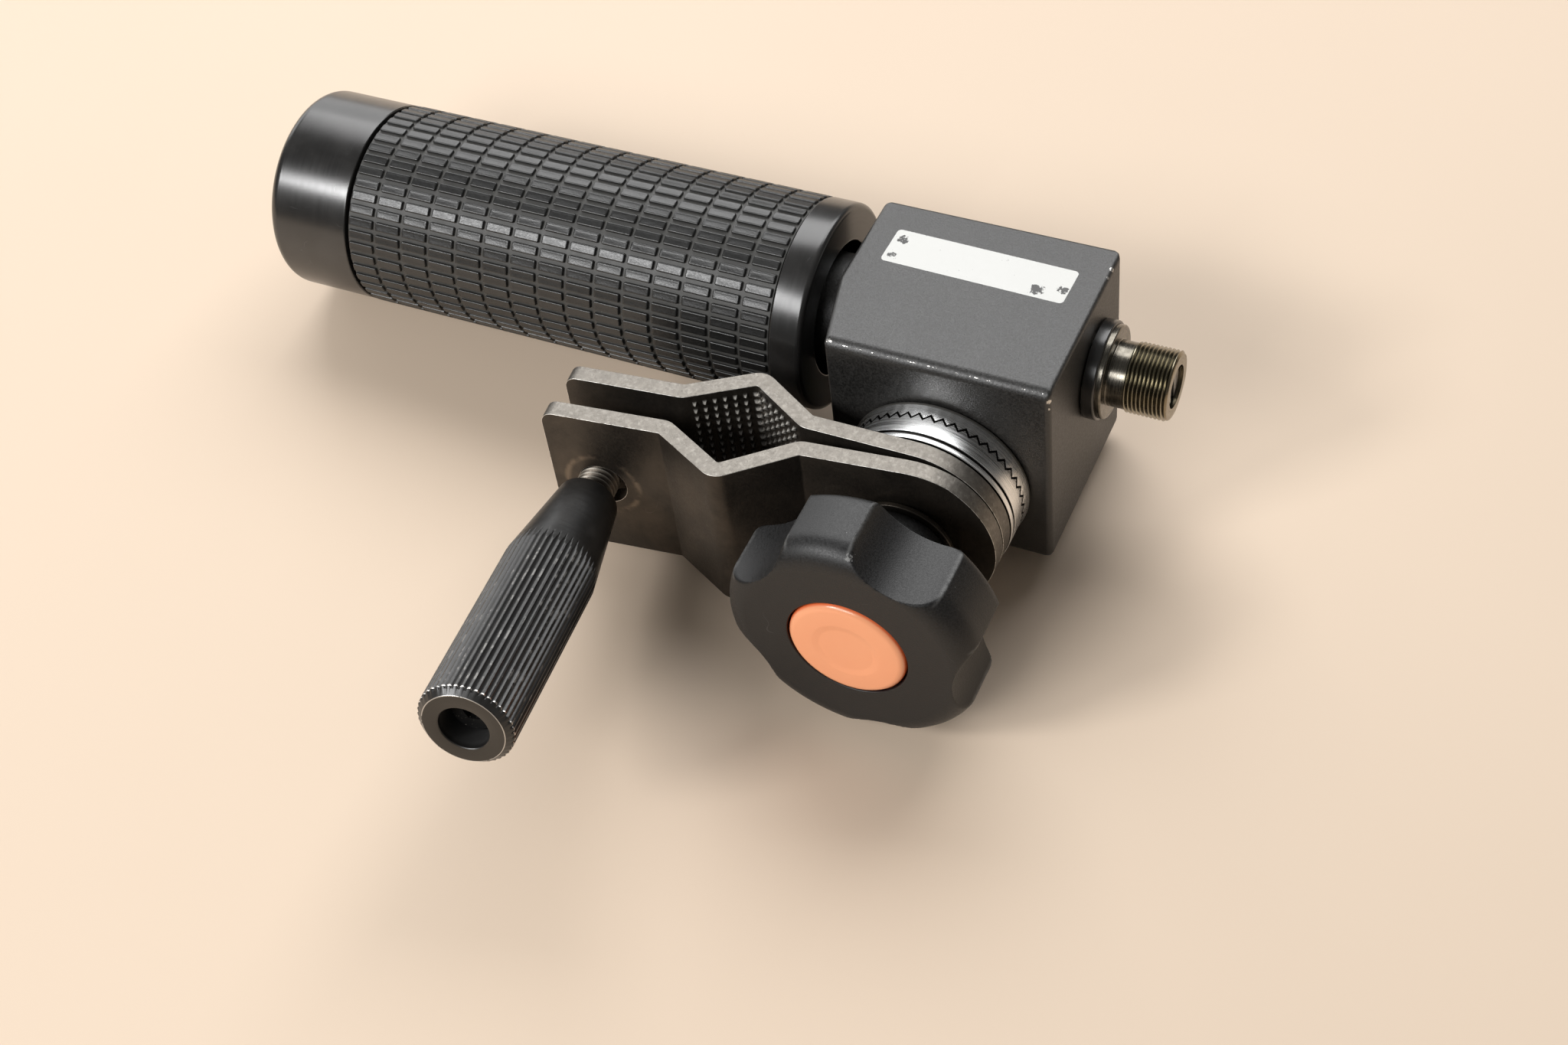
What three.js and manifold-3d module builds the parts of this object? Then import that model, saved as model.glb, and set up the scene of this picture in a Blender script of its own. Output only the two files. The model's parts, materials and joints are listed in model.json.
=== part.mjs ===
// A hand focus control for a studio lens: a turning grip whose shaft runs through a housing to a
// cable nipple, and a toothed swivel joint that carries a vee clamp for a round pan bar.
import * as THREE from "three";
import { mergeVertices } from "three/addons/utils/BufferGeometryUtils.js";
import { ConvexHull } from "three/addons/math/ConvexHull.js";
import Module from "manifold-3d";

const wasm = await Module();
wasm.setup();

// Shared clearances and overruns, in millimetres.
const gap = 0.3; // between neighbours that touch on the real object
const overrun = 1; // how far a cutting shape runs past what it cuts
const weld = 1e-4; // points nearer than this are one point

// The housing. X runs along the grip to the cable nipple, Y to the back, Z up, and the grip's
// axis is the line y = 0, z = 0. The left face meets the front face at x = 0.
const housing = {
  width: 48.6,
  front: 25.3, // from the grip's axis to the front face
  back: 15.6,
  above: 16.6,
  below: 29,
  taper: 4.3, // how far the left face draws in towards the front
  taperLength: 17.3,
  corner: 2.3,
  edge: 2,
  neckRadius: 11,
  neckLength: 14,
  neckChamfer: 1,
  seatRadius: 8.6, // the bore that holds the bushes and the nipple
};
const leftFace = -housing.taper;
const rightFace = housing.width - housing.taper;
const neckEnd = leftFace - housing.neckLength;

// The grip, which turns round the housing's neck.
const grip = {
  radius: 21,
  standOff: 4.1, // from the housing's left face
  flangeWidth: 6.6,
  flangeChamfer: 1,
  sleeveLength: 96.5,
  capLength: 19.5,
  seam: 0.6, // the groove between sleeve and cap
  endRound: 2.6,
  dishInset: 6,
  dishDepth: 0.8,
  sleeveThickness: 2.6,
  tubeWall: 3,
  mouthClearance: 2.6, // round the housing's neck
  mouthBeyondNeck: 5.7,
  hubLength: 28,
  spigotLength: 9,
  ribDepth: 0.9,
  ribCount: 48,
  ribShare: 0.62, // of each rib's pitch that its top takes
};
const flangeEnd = leftFace - grip.standOff;
const flangeStart = flangeEnd - grip.flangeWidth;
const capSeam = flangeStart - grip.sleeveLength;
const gripEnd = capSeam - grip.capLength;
const hubStart = neckEnd - grip.mouthBeyondNeck;
const hubEnd = hubStart - grip.hubLength;
const coreRadius = grip.radius - grip.sleeveThickness;
const shellBore = coreRadius - grip.tubeWall;

// The drive line inside the housing.
const shaft = {
  radius: 5,
  collarRadius: 7.2,
  collarLength: 3,
  grooveDepth: 0.7,
  grooveWidth: 1,
  retainerRadius: 6.6,
  retainerThickness: 0.8,
};
const gripBolt = { radius: 2, depth: 14, headOverlap: 1.2, headHeight: 3 };
const bush = { length: 16, inset: 1.6 };
const drag = { thickness: 1.4 };
const nipple = {
  spigotLength: 6,
  ringWidth: 2,
  ringThickness: 1,
  flangeOverlap: 0.65, // past the bore that it plugs
  flangeEnd: 4.2, // from here on, stations out from the housing's right face
  flangeChamfer: 0.8,
  neckRadius: 6,
  neckEnd: 7.6,
  threadRadius: 6.94,
  end: 16,
  endChamfer: 0.5,
  bore: 4.3,
};
const dog = { length: 9, setBack: 0.8, wall: 0.7, slotWidth: 1.8, slotDepth: 3.2 };
const bushLeftStart = neckEnd + bush.inset;
const bushLeftEnd = bushLeftStart + bush.length;
const bushRightEnd = rightFace - nipple.spigotLength - gap;
const bushRightStart = bushRightEnd - bush.length;
const dragStart = bushRightStart - gap - drag.thickness;
const dogEnd = rightFace + nipple.end - dog.setBack;
const shaftTipRadius = nipple.bore - 2 * gap - dog.wall;
const shaftEnd = dogEnd - dog.length / 2;

// The swivel joint on the front face. Its stations are distances out from that face.
const swivel = {
  radius: 17.9,
  footMargin: 0.2, // from its rim to the housing's lower edge
  teeth: 48,
  toothPlane: 3.9,
  toothHeight: 1.1, // at the rim; it fades towards the axis
  toothGap: 0.42,
  webDepth: 1.6, // how far the middle lies below the teeth
  webMargin: 0.5, // between the screw heads and the teeth
  armWeb: 2,
  grooveWidth: 0.7,
  grooveDepth: 0.5,
  flangeWidth: 1,
  tubeRadius: 6.2,
  bossWall: 3.5,
};
const rosetteScrew = { count: 3, radius: 1.5, length: 9, headRadius: 2.7, headHeight: 1.5 };
const stud = { radius: 4, rootDepth: 12, endMargin: 0.8 };
const swivelX = rightFace / 2;
const swivelZ = swivel.radius + swivel.footMargin - housing.below;
const screwCircle = swivel.tubeRadius + gap + rosetteScrew.headRadius;
const toothInner = screwCircle + rosetteScrew.headRadius + swivel.webMargin;
const armToothPlane = swivel.toothPlane + swivel.toothGap;
const armWebStart = armToothPlane + swivel.webDepth + rosetteScrew.headHeight;
const armEnd = armWebStart + swivel.armWeb;
const hubBossRadius = swivel.tubeRadius + gap + swivel.bossWall;

// The two bent plates of the clamp. A vee's legs are measured along the arm, and its depth
// from the line between its feet. The slack front plate stands off the rear one by its splay.
const plate = { thickness: 3.5, halfHeight: 17.6, tail: 24, corner: 2.6, bendRadius: 2.4 };
const rearJaw = {
  side: -1, // its vee bulges towards the housing
  lead: 3.6, // from the rosette's rim to the vee
  nearLeg: 12.7,
  farLeg: 12.8,
  depth: 7.8,
  tailRise: 2.4,
  splayStart: 0,
  splay: 0,
  veeSplay: 0.4,
};
const frontJaw = {
  side: 1,
  lead: 2.1,
  nearLeg: 12.6,
  farLeg: 13.7,
  depth: 8.8,
  tailRise: 2.7,
  splayStart: 4,
  splay: 2.9,
  veeSplay: 3.4,
};
const veeTooth = { pitch: 2.5, height: 1, columns: 5, rows: 12, sunk: 0.2, rise: 0.05 };
const rearPlateBack = armEnd + gap;
const frontPlateBack = rearPlateBack + plate.thickness + gap;
const plateLength = swivel.radius + rearJaw.lead + rearJaw.nearLeg + rearJaw.farLeg + plate.tail;

// The knob that locks the swivel.
const knob = {
  radius: 25,
  neckLength: 10.8,
  thickness: 15,
  frontRound: 5,
  backRound: 1.5,
  neckRadius: 9.5,
  neckFlare: 12.5,
  lobes: 5,
  lobeDegrees: 30,
  firstLobeDegrees: 30,
  fluteDepth: 3, // from the straight line between two lobes
  capRadius: 11.5,
  capRecess: 3.4,
  capProud: 0.6,
  capRound: 1.1,
  capDishRadius: 6.6,
  capDish: 0.35,
  insertRadius: 7,
  insertCover: 2.3,
  washerRadius: 10.5,
  washerThickness: 1.6,
};

// The clamp screw and its handle, as stations along their own axis.
const clamp = {
  inset: 9.6, // from the plates' far end
  standOff: 1.5, // from the front plate's outer face to station zero
  rise: 0.4,
  yawDegrees: 9, // how the slack screw leans along the arm
  liftDegrees: 9.3,
  radius: 4,
  tip: -23.6,
  tipChamfer: 0.8,
  ringStation: -22,
  ringThickness: 1,
  ringRadius: 5.8,
  ringGroove: 0.9,
  holeRadius: 5.9,
  holeShift: -0.6,
  neckStart: 4.5,
  neckRadius: 6,
  coneEnd: 26.2,
  end: 66.7,
  handleRadius: 9,
  endChamfer: 0.8,
  knurls: 44,
  knurlDepth: 0.5,
  knurlRun: 5,
  screwEnd: 30,
  recessRadius: 4.7,
  recessDepth: 6.4,
  boltRadius: 3.4,
  boltHeadHeight: 3.2,
  keyRadius: 2,
  keyDepth: 1.8,
};
const clampU = plateLength - clamp.inset;

// Facets round the turned pieces.
const fine = 40; // the large ones
const medium = 28;
const coarse = 18; // the small and the hidden ones
const tiny = 10; // the smallest screws and holes

const finishes = {
  blackPaint: { color: 0x2b2a29, roughness: 0.62, metalness: 0.1 },
  blackAnodised: { color: 0x1b1a1a, roughness: 0.38, metalness: 0.5 },
  rubber: { color: 0x252524, roughness: 0.8, metalness: 0 },
  steel: { color: 0x9a9a98, roughness: 0.35, metalness: 0.9 },
  bronze: { color: 0xa87c48, roughness: 0.45, metalness: 0.9 },
  brownSteel: { color: 0x6a5634, roughness: 0.35, metalness: 0.9 },
  chrome: { color: 0xd4d6d8, roughness: 0.16, metalness: 1 },
  blackenedSteel: { color: 0x4c4742, roughness: 0.5, metalness: 0.7 },
  blackPlastic: { color: 0x242424, roughness: 0.55, metalness: 0 },
  orangePlastic: { color: 0xff8c58, roughness: 0.4, metalness: 0 },
  felt: { color: 0x8d8a80, roughness: 0.95, metalness: 0 },
};

// A closed geometry as a manifold solid.
function solidOf(geometry) {
  const bare = geometry.clone();
  bare.deleteAttribute("normal");
  bare.deleteAttribute("uv");
  const merged = mergeVertices(bare, weld);
  return new wasm.Manifold(
    new wasm.Mesh({
      numProp: 3,
      vertProperties: merged.attributes.position.array,
      triVerts: new Uint32Array(merged.index.array),
    }),
  );
}

function geometryOf(solid) {
  const mesh = solid.getMesh();
  const geometry = new THREE.BufferGeometry();
  geometry.setAttribute("position", new THREE.BufferAttribute(mesh.vertProperties, 3));
  geometry.setIndex(new THREE.BufferAttribute(mesh.triVerts, 1));
  geometry.computeVertexNormals();
  return geometry;
}

function named(name, shape, finish) {
  const geometry = shape.isBufferGeometry ? shape : geometryOf(shape);
  const mesh = new THREE.Mesh(geometry, new THREE.MeshStandardMaterial(finishes[finish]));
  mesh.name = name;
  return mesh;
}

// A piece turned about the local Y axis. The profile lists [radius, station] pairs round its
// section. It closes on itself, or starts and ends on the axis.
function turned(profile, facets = fine) {
  const points = profile.map(([radius, station]) => new THREE.Vector2(radius, station));
  if (THREE.ShapeUtils.area(points) < 0) points.reverse();
  if (points[0].x > 0) points.push(points[0].clone());
  return new THREE.LatheGeometry(points, facets);
}

// A ring or tube between two radii and two stations.
function ring(outer, inner, from, to, facets = coarse) {
  return turned([[inner, from], [outer, from], [outer, to], [inner, to]], facets);
}

// A solid rod along the local Y axis.
function rod(radius, from, to, facets = coarse) {
  const geometry = new THREE.CylinderGeometry(radius, radius, to - from, facets);
  return geometry.translate(0, (from + to) / 2, 0);
}

// Points of a rounded corner of a turned profile, from one heading to the next, in degrees.
function roundCorner(centreRadius, centreStation, radius, fromDegrees, toDegrees, steps = 4) {
  return Array.from({ length: steps + 1 }, (_, i) => {
    const angle = THREE.MathUtils.degToRad(fromDegrees + ((toDegrees - fromDegrees) * i) / steps);
    return [centreRadius + radius * Math.cos(angle), centreStation + radius * Math.sin(angle)];
  });
}

function extruded(shape, depth, curveSegments = 6) {
  return new THREE.ExtrudeGeometry(shape, { depth, bevelEnabled: false, curveSegments });
}

// The housing's outline from above. Its left face draws in towards the front.
function housingOutline() {
  const { back, front, taperLength, corner } = housing;
  const shape = new THREE.Shape();
  shape.moveTo(0, -front);
  shape.lineTo(rightFace - corner, -front);
  shape.absarc(rightFace - corner, corner - front, corner, -Math.PI / 2, 0, false);
  shape.lineTo(rightFace, back - corner);
  shape.absarc(rightFace - corner, back - corner, corner, 0, Math.PI / 2, false);
  shape.lineTo(leftFace + corner, back);
  shape.absarc(leftFace + corner, back - corner, corner, Math.PI / 2, Math.PI, false);
  shape.lineTo(leftFace, taperLength - front);
  return shape;
}

// Puts a shape turned about Y onto the grip's axis.
function alongGrip(geometry) {
  return solidOf(geometry.rotateZ(-Math.PI / 2));
}

// Puts a shape made in the swivel's frame onto the housing's front face.
function onFront(geometry) {
  geometry.rotateZ(Math.PI);
  return solidOf(geometry.translate(swivelX, -housing.front, swivelZ));
}

function housingSolid() {
  const { above, below, edge, neckRadius, neckChamfer, seatRadius } = housing;
  const block = new THREE.ExtrudeGeometry(housingOutline(), {
    depth: above + below - 2 * edge,
    bevelThickness: edge,
    bevelSize: edge,
    bevelOffset: -edge,
    bevelSegments: 3,
    curveSegments: 3,
  });
  block.translate(0, 0, edge - below);
  const neck = turned([
    [0, neckEnd],
    [neckRadius - neckChamfer, neckEnd],
    [neckRadius, neckEnd + neckChamfer],
    [neckRadius, bushLeftEnd],
    [0, bushLeftEnd],
  ], medium);
  const passage = shaft.collarRadius + gap;
  const studHole = rod(stud.radius + gap, -stud.rootDepth - gap, overrun);
  const screwHole = rod(rosetteScrew.radius + gap, -rosetteScrew.length, overrun, tiny);
  let solid = solidOf(block).add(alongGrip(neck));
  solid = solid.subtract(alongGrip(rod(passage, neckEnd - overrun, rightFace + overrun)));
  solid = solid.subtract(alongGrip(rod(seatRadius, neckEnd - overrun, bushLeftEnd + gap, medium)));
  solid = solid.subtract(alongGrip(rod(seatRadius, dragStart - gap, rightFace + overrun, medium)));
  solid = solid.subtract(onFront(studHole));
  for (const { x, z } of rosetteScrewPlaces())
    solid = solid.subtract(onFront(screwHole.clone().translate(x, 0, z)));
  return solid;
}

function bushSolid(start, end) {
  return ring(housing.seatRadius - gap, shaft.radius + gap, start, end);
}

// The shaft: a groove for its retainer, a collar that bears on the drag ring, and a thin tip.
function shaftSolid() {
  const { radius, collarRadius, collarLength, grooveDepth, grooveWidth } = shaft;
  const collarEnd = dragStart - gap;
  const groove = bushLeftEnd + gap;
  const spindle = solidOf(turned([
    [0, hubEnd],
    [radius, hubEnd],
    [radius, groove],
    [radius - grooveDepth, groove],
    [radius - grooveDepth, groove + grooveWidth],
    [radius, groove + grooveWidth],
    [radius, collarEnd - collarLength],
    [collarRadius, collarEnd - collarLength],
    [collarRadius, collarEnd],
    [radius, collarEnd],
    [radius, bushRightEnd],
    [shaftTipRadius, bushRightEnd],
    [shaftTipRadius, shaftEnd],
    [0, shaftEnd],
  ], coarse));
  const boltHole = rod(gripBolt.radius + gap, hubEnd - overrun, hubEnd + gripBolt.depth, tiny);
  return spindle.subtract(solidOf(boltHole));
}

function retainerSolid() {
  const { radius, grooveDepth, grooveWidth, retainerRadius, retainerThickness } = shaft;
  const start = bushLeftEnd + gap + (grooveWidth - retainerThickness) / 2;
  return ring(retainerRadius, radius - grooveDepth + gap, start, start + retainerThickness);
}

function dragSolid() {
  return ring(housing.seatRadius - gap, shaft.radius + gap, dragStart, dragStart + drag.thickness);
}

function nippleSolid() {
  const n = nipple;
  const spigot = housing.seatRadius - gap;
  const flange = housing.seatRadius + n.flangeOverlap;
  const flangeStation = n.ringThickness + 2 * gap;
  const profile = [
    [n.bore, -n.spigotLength],
    [spigot, -n.spigotLength],
    [spigot, flangeStation],
    [flange, flangeStation],
    [flange, n.flangeEnd - n.flangeChamfer],
    [flange - n.flangeChamfer, n.flangeEnd],
    [n.neckRadius, n.flangeEnd],
    [n.neckRadius, n.neckEnd],
    [n.threadRadius, n.neckEnd],
    [n.threadRadius, n.end - n.endChamfer],
    [n.threadRadius - n.endChamfer, n.end],
    [n.bore, n.end],
  ];
  return turned(profile, medium).translate(0, rightFace, 0);
}

function nippleRingSolid() {
  const { ringWidth, ringThickness } = nipple;
  const inner = housing.seatRadius;
  const start = rightFace + gap;
  return turned([
    [inner, start],
    [inner + ringWidth, start],
    [inner + ringWidth, start + ringThickness / 2],
    [inner + ringWidth - ringThickness / 2, start + ringThickness],
    [inner, start + ringThickness],
  ], medium);
}

// The slotted end that drives the cable, seated on the shaft's tip.
function dogSolid() {
  const outer = nipple.bore - gap;
  const start = dogEnd - dog.length;
  const body = solidOf(rod(outer, start, dogEnd));
  const socket = solidOf(rod(shaftTipRadius + gap, start - overrun, shaftEnd + gap));
  const slot = new THREE.BoxGeometry(2 * outer + overrun, 2 * dog.slotDepth, dog.slotWidth);
  return body.subtract(socket).subtract(solidOf(slot.translate(0, dogEnd, 0)));
}

function barrelSolid() {
  const { radius, flangeChamfer, mouthClearance, seam } = grip;
  const mouth = housing.neckRadius + mouthClearance;
  const tubeEnd = capSeam - seam / 2 + gap;
  return turned([
    [shaft.radius + gap, hubStart],
    [shaft.radius + gap, hubEnd],
    [shellBore, hubEnd],
    [shellBore, tubeEnd],
    [coreRadius, tubeEnd],
    [coreRadius, flangeStart],
    [radius, flangeStart],
    [radius, flangeEnd - flangeChamfer],
    [radius - flangeChamfer, flangeEnd],
    [mouth, flangeEnd],
    [mouth, hubStart],
  ]);
}

// The rubber sleeve, ribbed lengthwise.
function sleeveSolid() {
  const { radius, ribCount, ribShare, ribDepth, seam } = grip;
  const start = capSeam + seam / 2;
  const ribShares = [[radius - ribDepth, -1 / 2], [radius, -ribShare / 2], [radius, ribShare / 2]];
  const outline = [];
  for (let i = 0; i < ribCount; i++)
    for (const [reach, share] of ribShares) {
      const angle = ((i + share) * 2 * Math.PI) / ribCount;
      outline.push(new THREE.Vector2(reach * Math.cos(angle), reach * Math.sin(angle)));
    }
  const shape = new THREE.Shape(outline);
  const bore = new THREE.Path();
  bore.absarc(0, 0, coreRadius + gap, 0, 2 * Math.PI, true);
  shape.holes.push(bore);
  const sleeve = extruded(shape, flangeStart - gap - start, fine / 2);
  return sleeve.rotateX(-Math.PI / 2).translate(0, start, 0);
}

function gripCapSolid() {
  const { radius, endRound, dishInset, dishDepth, spigotLength, seam } = grip;
  const rim = capSeam - seam / 2;
  const spigot = shellBore - gap;
  return turned([
    [0, gripEnd + dishDepth],
    [radius - dishInset, gripEnd + dishDepth],
    [radius - dishInset + dishDepth, gripEnd],
    ...roundCorner(radius - endRound, gripEnd + endRound, endRound, -90, 0),
    [radius, rim],
    [spigot, rim],
    [spigot, rim + spigotLength],
    [0, rim + spigotLength],
  ]);
}

// The bolt that holds the grip's hub on the shaft.
function gripBoltSolid() {
  const { radius, depth, headOverlap, headHeight } = gripBolt;
  const seat = hubEnd - gap;
  const head = shaft.radius + gap + headOverlap;
  return turned([
    [0, seat - headHeight],
    [head, seat - headHeight],
    [head, seat],
    [radius, seat],
    [radius, hubEnd + depth - gap],
    [0, hubEnd + depth - gap],
  ], tiny);
}

function rosetteScrewPlaces() {
  return Array.from({ length: rosetteScrew.count }, (_, i) => {
    const angle = (2 * Math.PI * i) / rosetteScrew.count;
    return { x: screwCircle * Math.cos(angle), z: screwCircle * Math.sin(angle) };
  });
}

// One tooth space: a four-sided point with its tip on the axis, so that the vee fades inwards.
function toothWedge(index, plane) {
  const { radius, teeth, toothHeight } = swivel;
  const reach = radius + overrun;
  const halfWidth = reach * Math.tan(Math.PI / teeth);
  const wedge = new THREE.ConeGeometry(1, reach, 4);
  wedge.translate(0, -reach / 2, 0);
  wedge.scale((toothHeight * reach) / radius, 1, halfWidth);
  wedge.rotateZ(Math.PI / 2);
  wedge.rotateY((index * 2 * Math.PI) / teeth);
  return solidOf(wedge.translate(0, plane, 0));
}

function toothStar(plane) {
  let star = toothWedge(0, plane);
  for (let i = 1; i < swivel.teeth; i++) star = star.add(toothWedge(i, plane));
  return star;
}

function fixedRosetteSolid() {
  const { radius, teeth, toothPlane, webDepth } = swivel;
  const web = toothPlane - webDepth;
  let solid = solidOf(rod(radius, gap, toothPlane, teeth));
  solid = solid.subtract(toothStar(toothPlane));
  solid = solid.subtract(solidOf(rod(toothInner, web, toothPlane + overrun, teeth)));
  solid = solid.subtract(solidOf(rod(stud.radius + gap, 0, toothPlane)));
  for (const { x, z } of rosetteScrewPlaces()) {
    const hole = rod(rosetteScrew.radius + gap, 0, toothPlane, tiny);
    solid = solid.subtract(solidOf(hole.translate(x, 0, z)));
  }
  return solid;
}

function rosetteScrewSolid() {
  const { radius, length, headRadius, headHeight } = rosetteScrew;
  const seat = swivel.toothPlane - swivel.webDepth + gap;
  return turned([
    [0, gap - length],
    [radius, gap - length],
    [radius, seat],
    [headRadius, seat],
    [headRadius, seat + headHeight],
    [0, seat + headHeight],
  ], tiny);
}

function armRosetteSolid() {
  const { radius, teeth, toothPlane, toothHeight, grooveDepth, grooveWidth, flangeWidth } = swivel;
  const bore = swivel.tubeRadius + gap;
  const grooveEnd = armEnd - flangeWidth;
  const rim = ring(radius, toothInner, toothPlane - 2 * toothHeight, armToothPlane, teeth);
  const points = toothStar(armToothPlane).intersect(solidOf(rim));
  const body = solidOf(turned([
    [toothInner, armWebStart],
    [toothInner, armToothPlane],
    [radius, armToothPlane],
    [radius, grooveEnd - grooveWidth],
    [radius - grooveDepth, grooveEnd - grooveWidth],
    [radius - grooveDepth, grooveEnd],
    [radius, grooveEnd],
    [radius, armEnd],
    [0, armEnd],
    [0, armWebStart],
  ], teeth));
  const boss = solidOf(rod(hubBossRadius, armWebStart, rearPlateBack + plate.thickness, medium));
  const hole = solidOf(rod(bore, toothPlane, frontPlateBack));
  return body.add(points).add(boss).subtract(hole);
}

// The middle line of a plate's bent sheet, as points along the arm and out from the housing.
function plateLine(back, jaw) {
  const veeStart = swivel.radius + jaw.lead;
  const apex = veeStart + jaw.nearLeg;
  const veeEnd = apex + jaw.farLeg;
  const root = back + plate.thickness / 2;
  const foot = root + jaw.splay;
  const farFoot = foot + jaw.veeSplay;
  const line = [
    [-plate.halfHeight - overrun, root],
    [jaw.splayStart, root],
    [veeStart, foot],
    [apex, (foot + farFoot) / 2 + jaw.side * jaw.depth],
    [veeEnd, farFoot],
    [plateLength + overrun, farFoot + jaw.tailRise],
  ];
  return line.map(([u, d]) => new THREE.Vector2(u, d));
}
const apexIndex = 3;

// How far out a bent line lies at one place along the arm.
function lineAt(line, u) {
  const next = line.findIndex((point) => point.x > u);
  const [a, b] = [line[next - 1], line[next]];
  return THREE.MathUtils.mapLinear(u, a.x, b.x, a.y, b.y);
}

// The unit vector square to one stretch of a line, to its left.
function normalOf(line, index) {
  const along = line[index + 1].clone().sub(line[index]).normalize();
  return new THREE.Vector2(-along.y, along.x);
}

// One side of a sheet that follows a bent line, with an arc at each bend.
function stripSide(line, offset, bendRadius) {
  const path = new THREE.Path();
  path.moveTo(line[0].x, line[0].y + offset);
  for (let i = 1; i < line.length - 1; i++) {
    const before = normalOf(line, i - 1);
    const after = normalOf(line, i);
    const turn = Math.sign(before.x * after.y - before.y * after.x);
    if (turn === 0) continue;
    const half = Math.acos(THREE.MathUtils.clamp(before.dot(after), -1, 1)) / 2;
    const bisector = before.clone().add(after).normalize();
    const centre = line[i].clone().addScaledVector(bisector, (turn * bendRadius) / Math.cos(half));
    const radius = bendRadius - turn * offset;
    const from = before.clone().multiplyScalar(-turn).angle();
    const to = after.clone().multiplyScalar(-turn).angle();
    path.lineTo(centre.x + radius * Math.cos(from), centre.y + radius * Math.sin(from));
    path.absarc(centre.x, centre.y, radius, from, to, turn < 0);
  }
  const end = line[line.length - 1];
  path.lineTo(end.x, end.y + offset);
  return path.getPoints(2);
}

// The plates' outline seen square on: a round end about the swivel, square at the far end.
function plateOutline() {
  const { halfHeight, corner } = plate;
  const shape = new THREE.Shape();
  shape.moveTo(plateLength - corner, halfHeight);
  shape.lineTo(0, halfHeight);
  shape.absarc(0, 0, halfHeight, Math.PI / 2, (3 * Math.PI) / 2, false);
  shape.lineTo(plateLength - corner, -halfHeight);
  shape.absarc(plateLength - corner, corner - halfHeight, corner, -Math.PI / 2, 0, false);
  shape.lineTo(plateLength, halfHeight - corner);
  shape.absarc(plateLength - corner, halfHeight - corner, corner, 0, Math.PI / 2, false);
  return shape;
}

// A row of ridges along X: a saw outline on a thin base, extruded along Z about the middle.
function ridges(count, width) {
  const { pitch, height, sunk, rise } = veeTooth;
  const half = (count * pitch) / 2;
  const shape = new THREE.Shape();
  shape.moveTo(-half, -sunk);
  shape.lineTo(half, -sunk);
  for (let i = 0; i < count; i++) {
    shape.lineTo(half - i * pitch, rise);
    shape.lineTo(half - (i + 1 / 2) * pitch, height);
  }
  shape.lineTo(-half, rise);
  return extruded(shape, width).translate(0, 0, -width / 2);
}

// A grid of four-sided points on the inside of one leg of a vee: two sets of ridges crossed.
function veeTeeth(line, index, inside) {
  const { pitch, columns, rows } = veeTooth;
  const along = line[index + 1].clone().sub(line[index]);
  const middle = line[index].clone().addScaledVector(along, 1 / 2);
  middle.addScaledVector(normalOf(line, index), (inside * plate.thickness) / 2);
  const across = ridges(columns, rows * pitch);
  const upright = ridges(rows, columns * pitch).rotateY(Math.PI / 2);
  const field = geometryOf(solidOf(across).intersect(solidOf(upright)));
  if (inside < 0) field.rotateX(Math.PI);
  field.rotateZ(along.angle());
  return solidOf(field.translate(middle.x, middle.y, 0));
}

function plateSolid(back, jaw) {
  const { thickness, halfHeight, bendRadius } = plate;
  const line = plateLine(back, jaw);
  const near = stripSide(line, -thickness / 2, bendRadius);
  const far = stripSide(line, thickness / 2, bendRadius);
  const tall = 2 * (halfHeight + overrun);
  const strip = extruded(new THREE.Shape([...near, ...far.reverse()]), tall);
  strip.translate(0, 0, -tall / 2);
  const reach = back + jaw.depth + jaw.splay + jaw.veeSplay + jaw.tailRise + 2 * thickness;
  const outline = extruded(plateOutline(), reach, fine / 4);
  outline.rotateX(Math.PI / 2);
  outline.translate(0, reach, 0);
  const teeth = veeTeeth(line, apexIndex - 1, -jaw.side).add(veeTeeth(line, apexIndex, -jaw.side));
  return solidOf(strip).intersect(solidOf(outline)).add(teeth);
}

function rearPlateSolid() {
  const bore = solidOf(rod(hubBossRadius + gap, 0, frontPlateBack, fine));
  const screwHole = rod(clamp.radius + gap, clamp.tip - overrun, clamp.end);
  return plateSolid(rearPlateBack, rearJaw).subtract(bore).subtract(solidOf(leaning(screwHole)));
}

function frontPlateSolid() {
  const bore = solidOf(rod(swivel.tubeRadius + gap, rearPlateBack, knobBack));
  const hole = rod(clamp.holeRadius, 0, clampD).translate(clampU + clamp.holeShift, 0, 0);
  return plateSolid(frontPlateBack, frontJaw).subtract(bore).subtract(solidOf(hole));
}

// Stations that follow from where the slack front plate lies.
const frontLine = plateLine(frontPlateBack, frontJaw);
const washerSeat = lineAt(frontLine, knob.washerRadius) + plate.thickness / 2 + gap;
const neckStart = washerSeat + knob.washerThickness + gap;
const knobBack = neckStart + knob.neckLength;
const knobFront = knobBack + knob.thickness;
const capFloor = knobFront - knob.capRecess;
const clampD = lineAt(frontLine, clampU) + plate.thickness / 2 + clamp.standOff;

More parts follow.
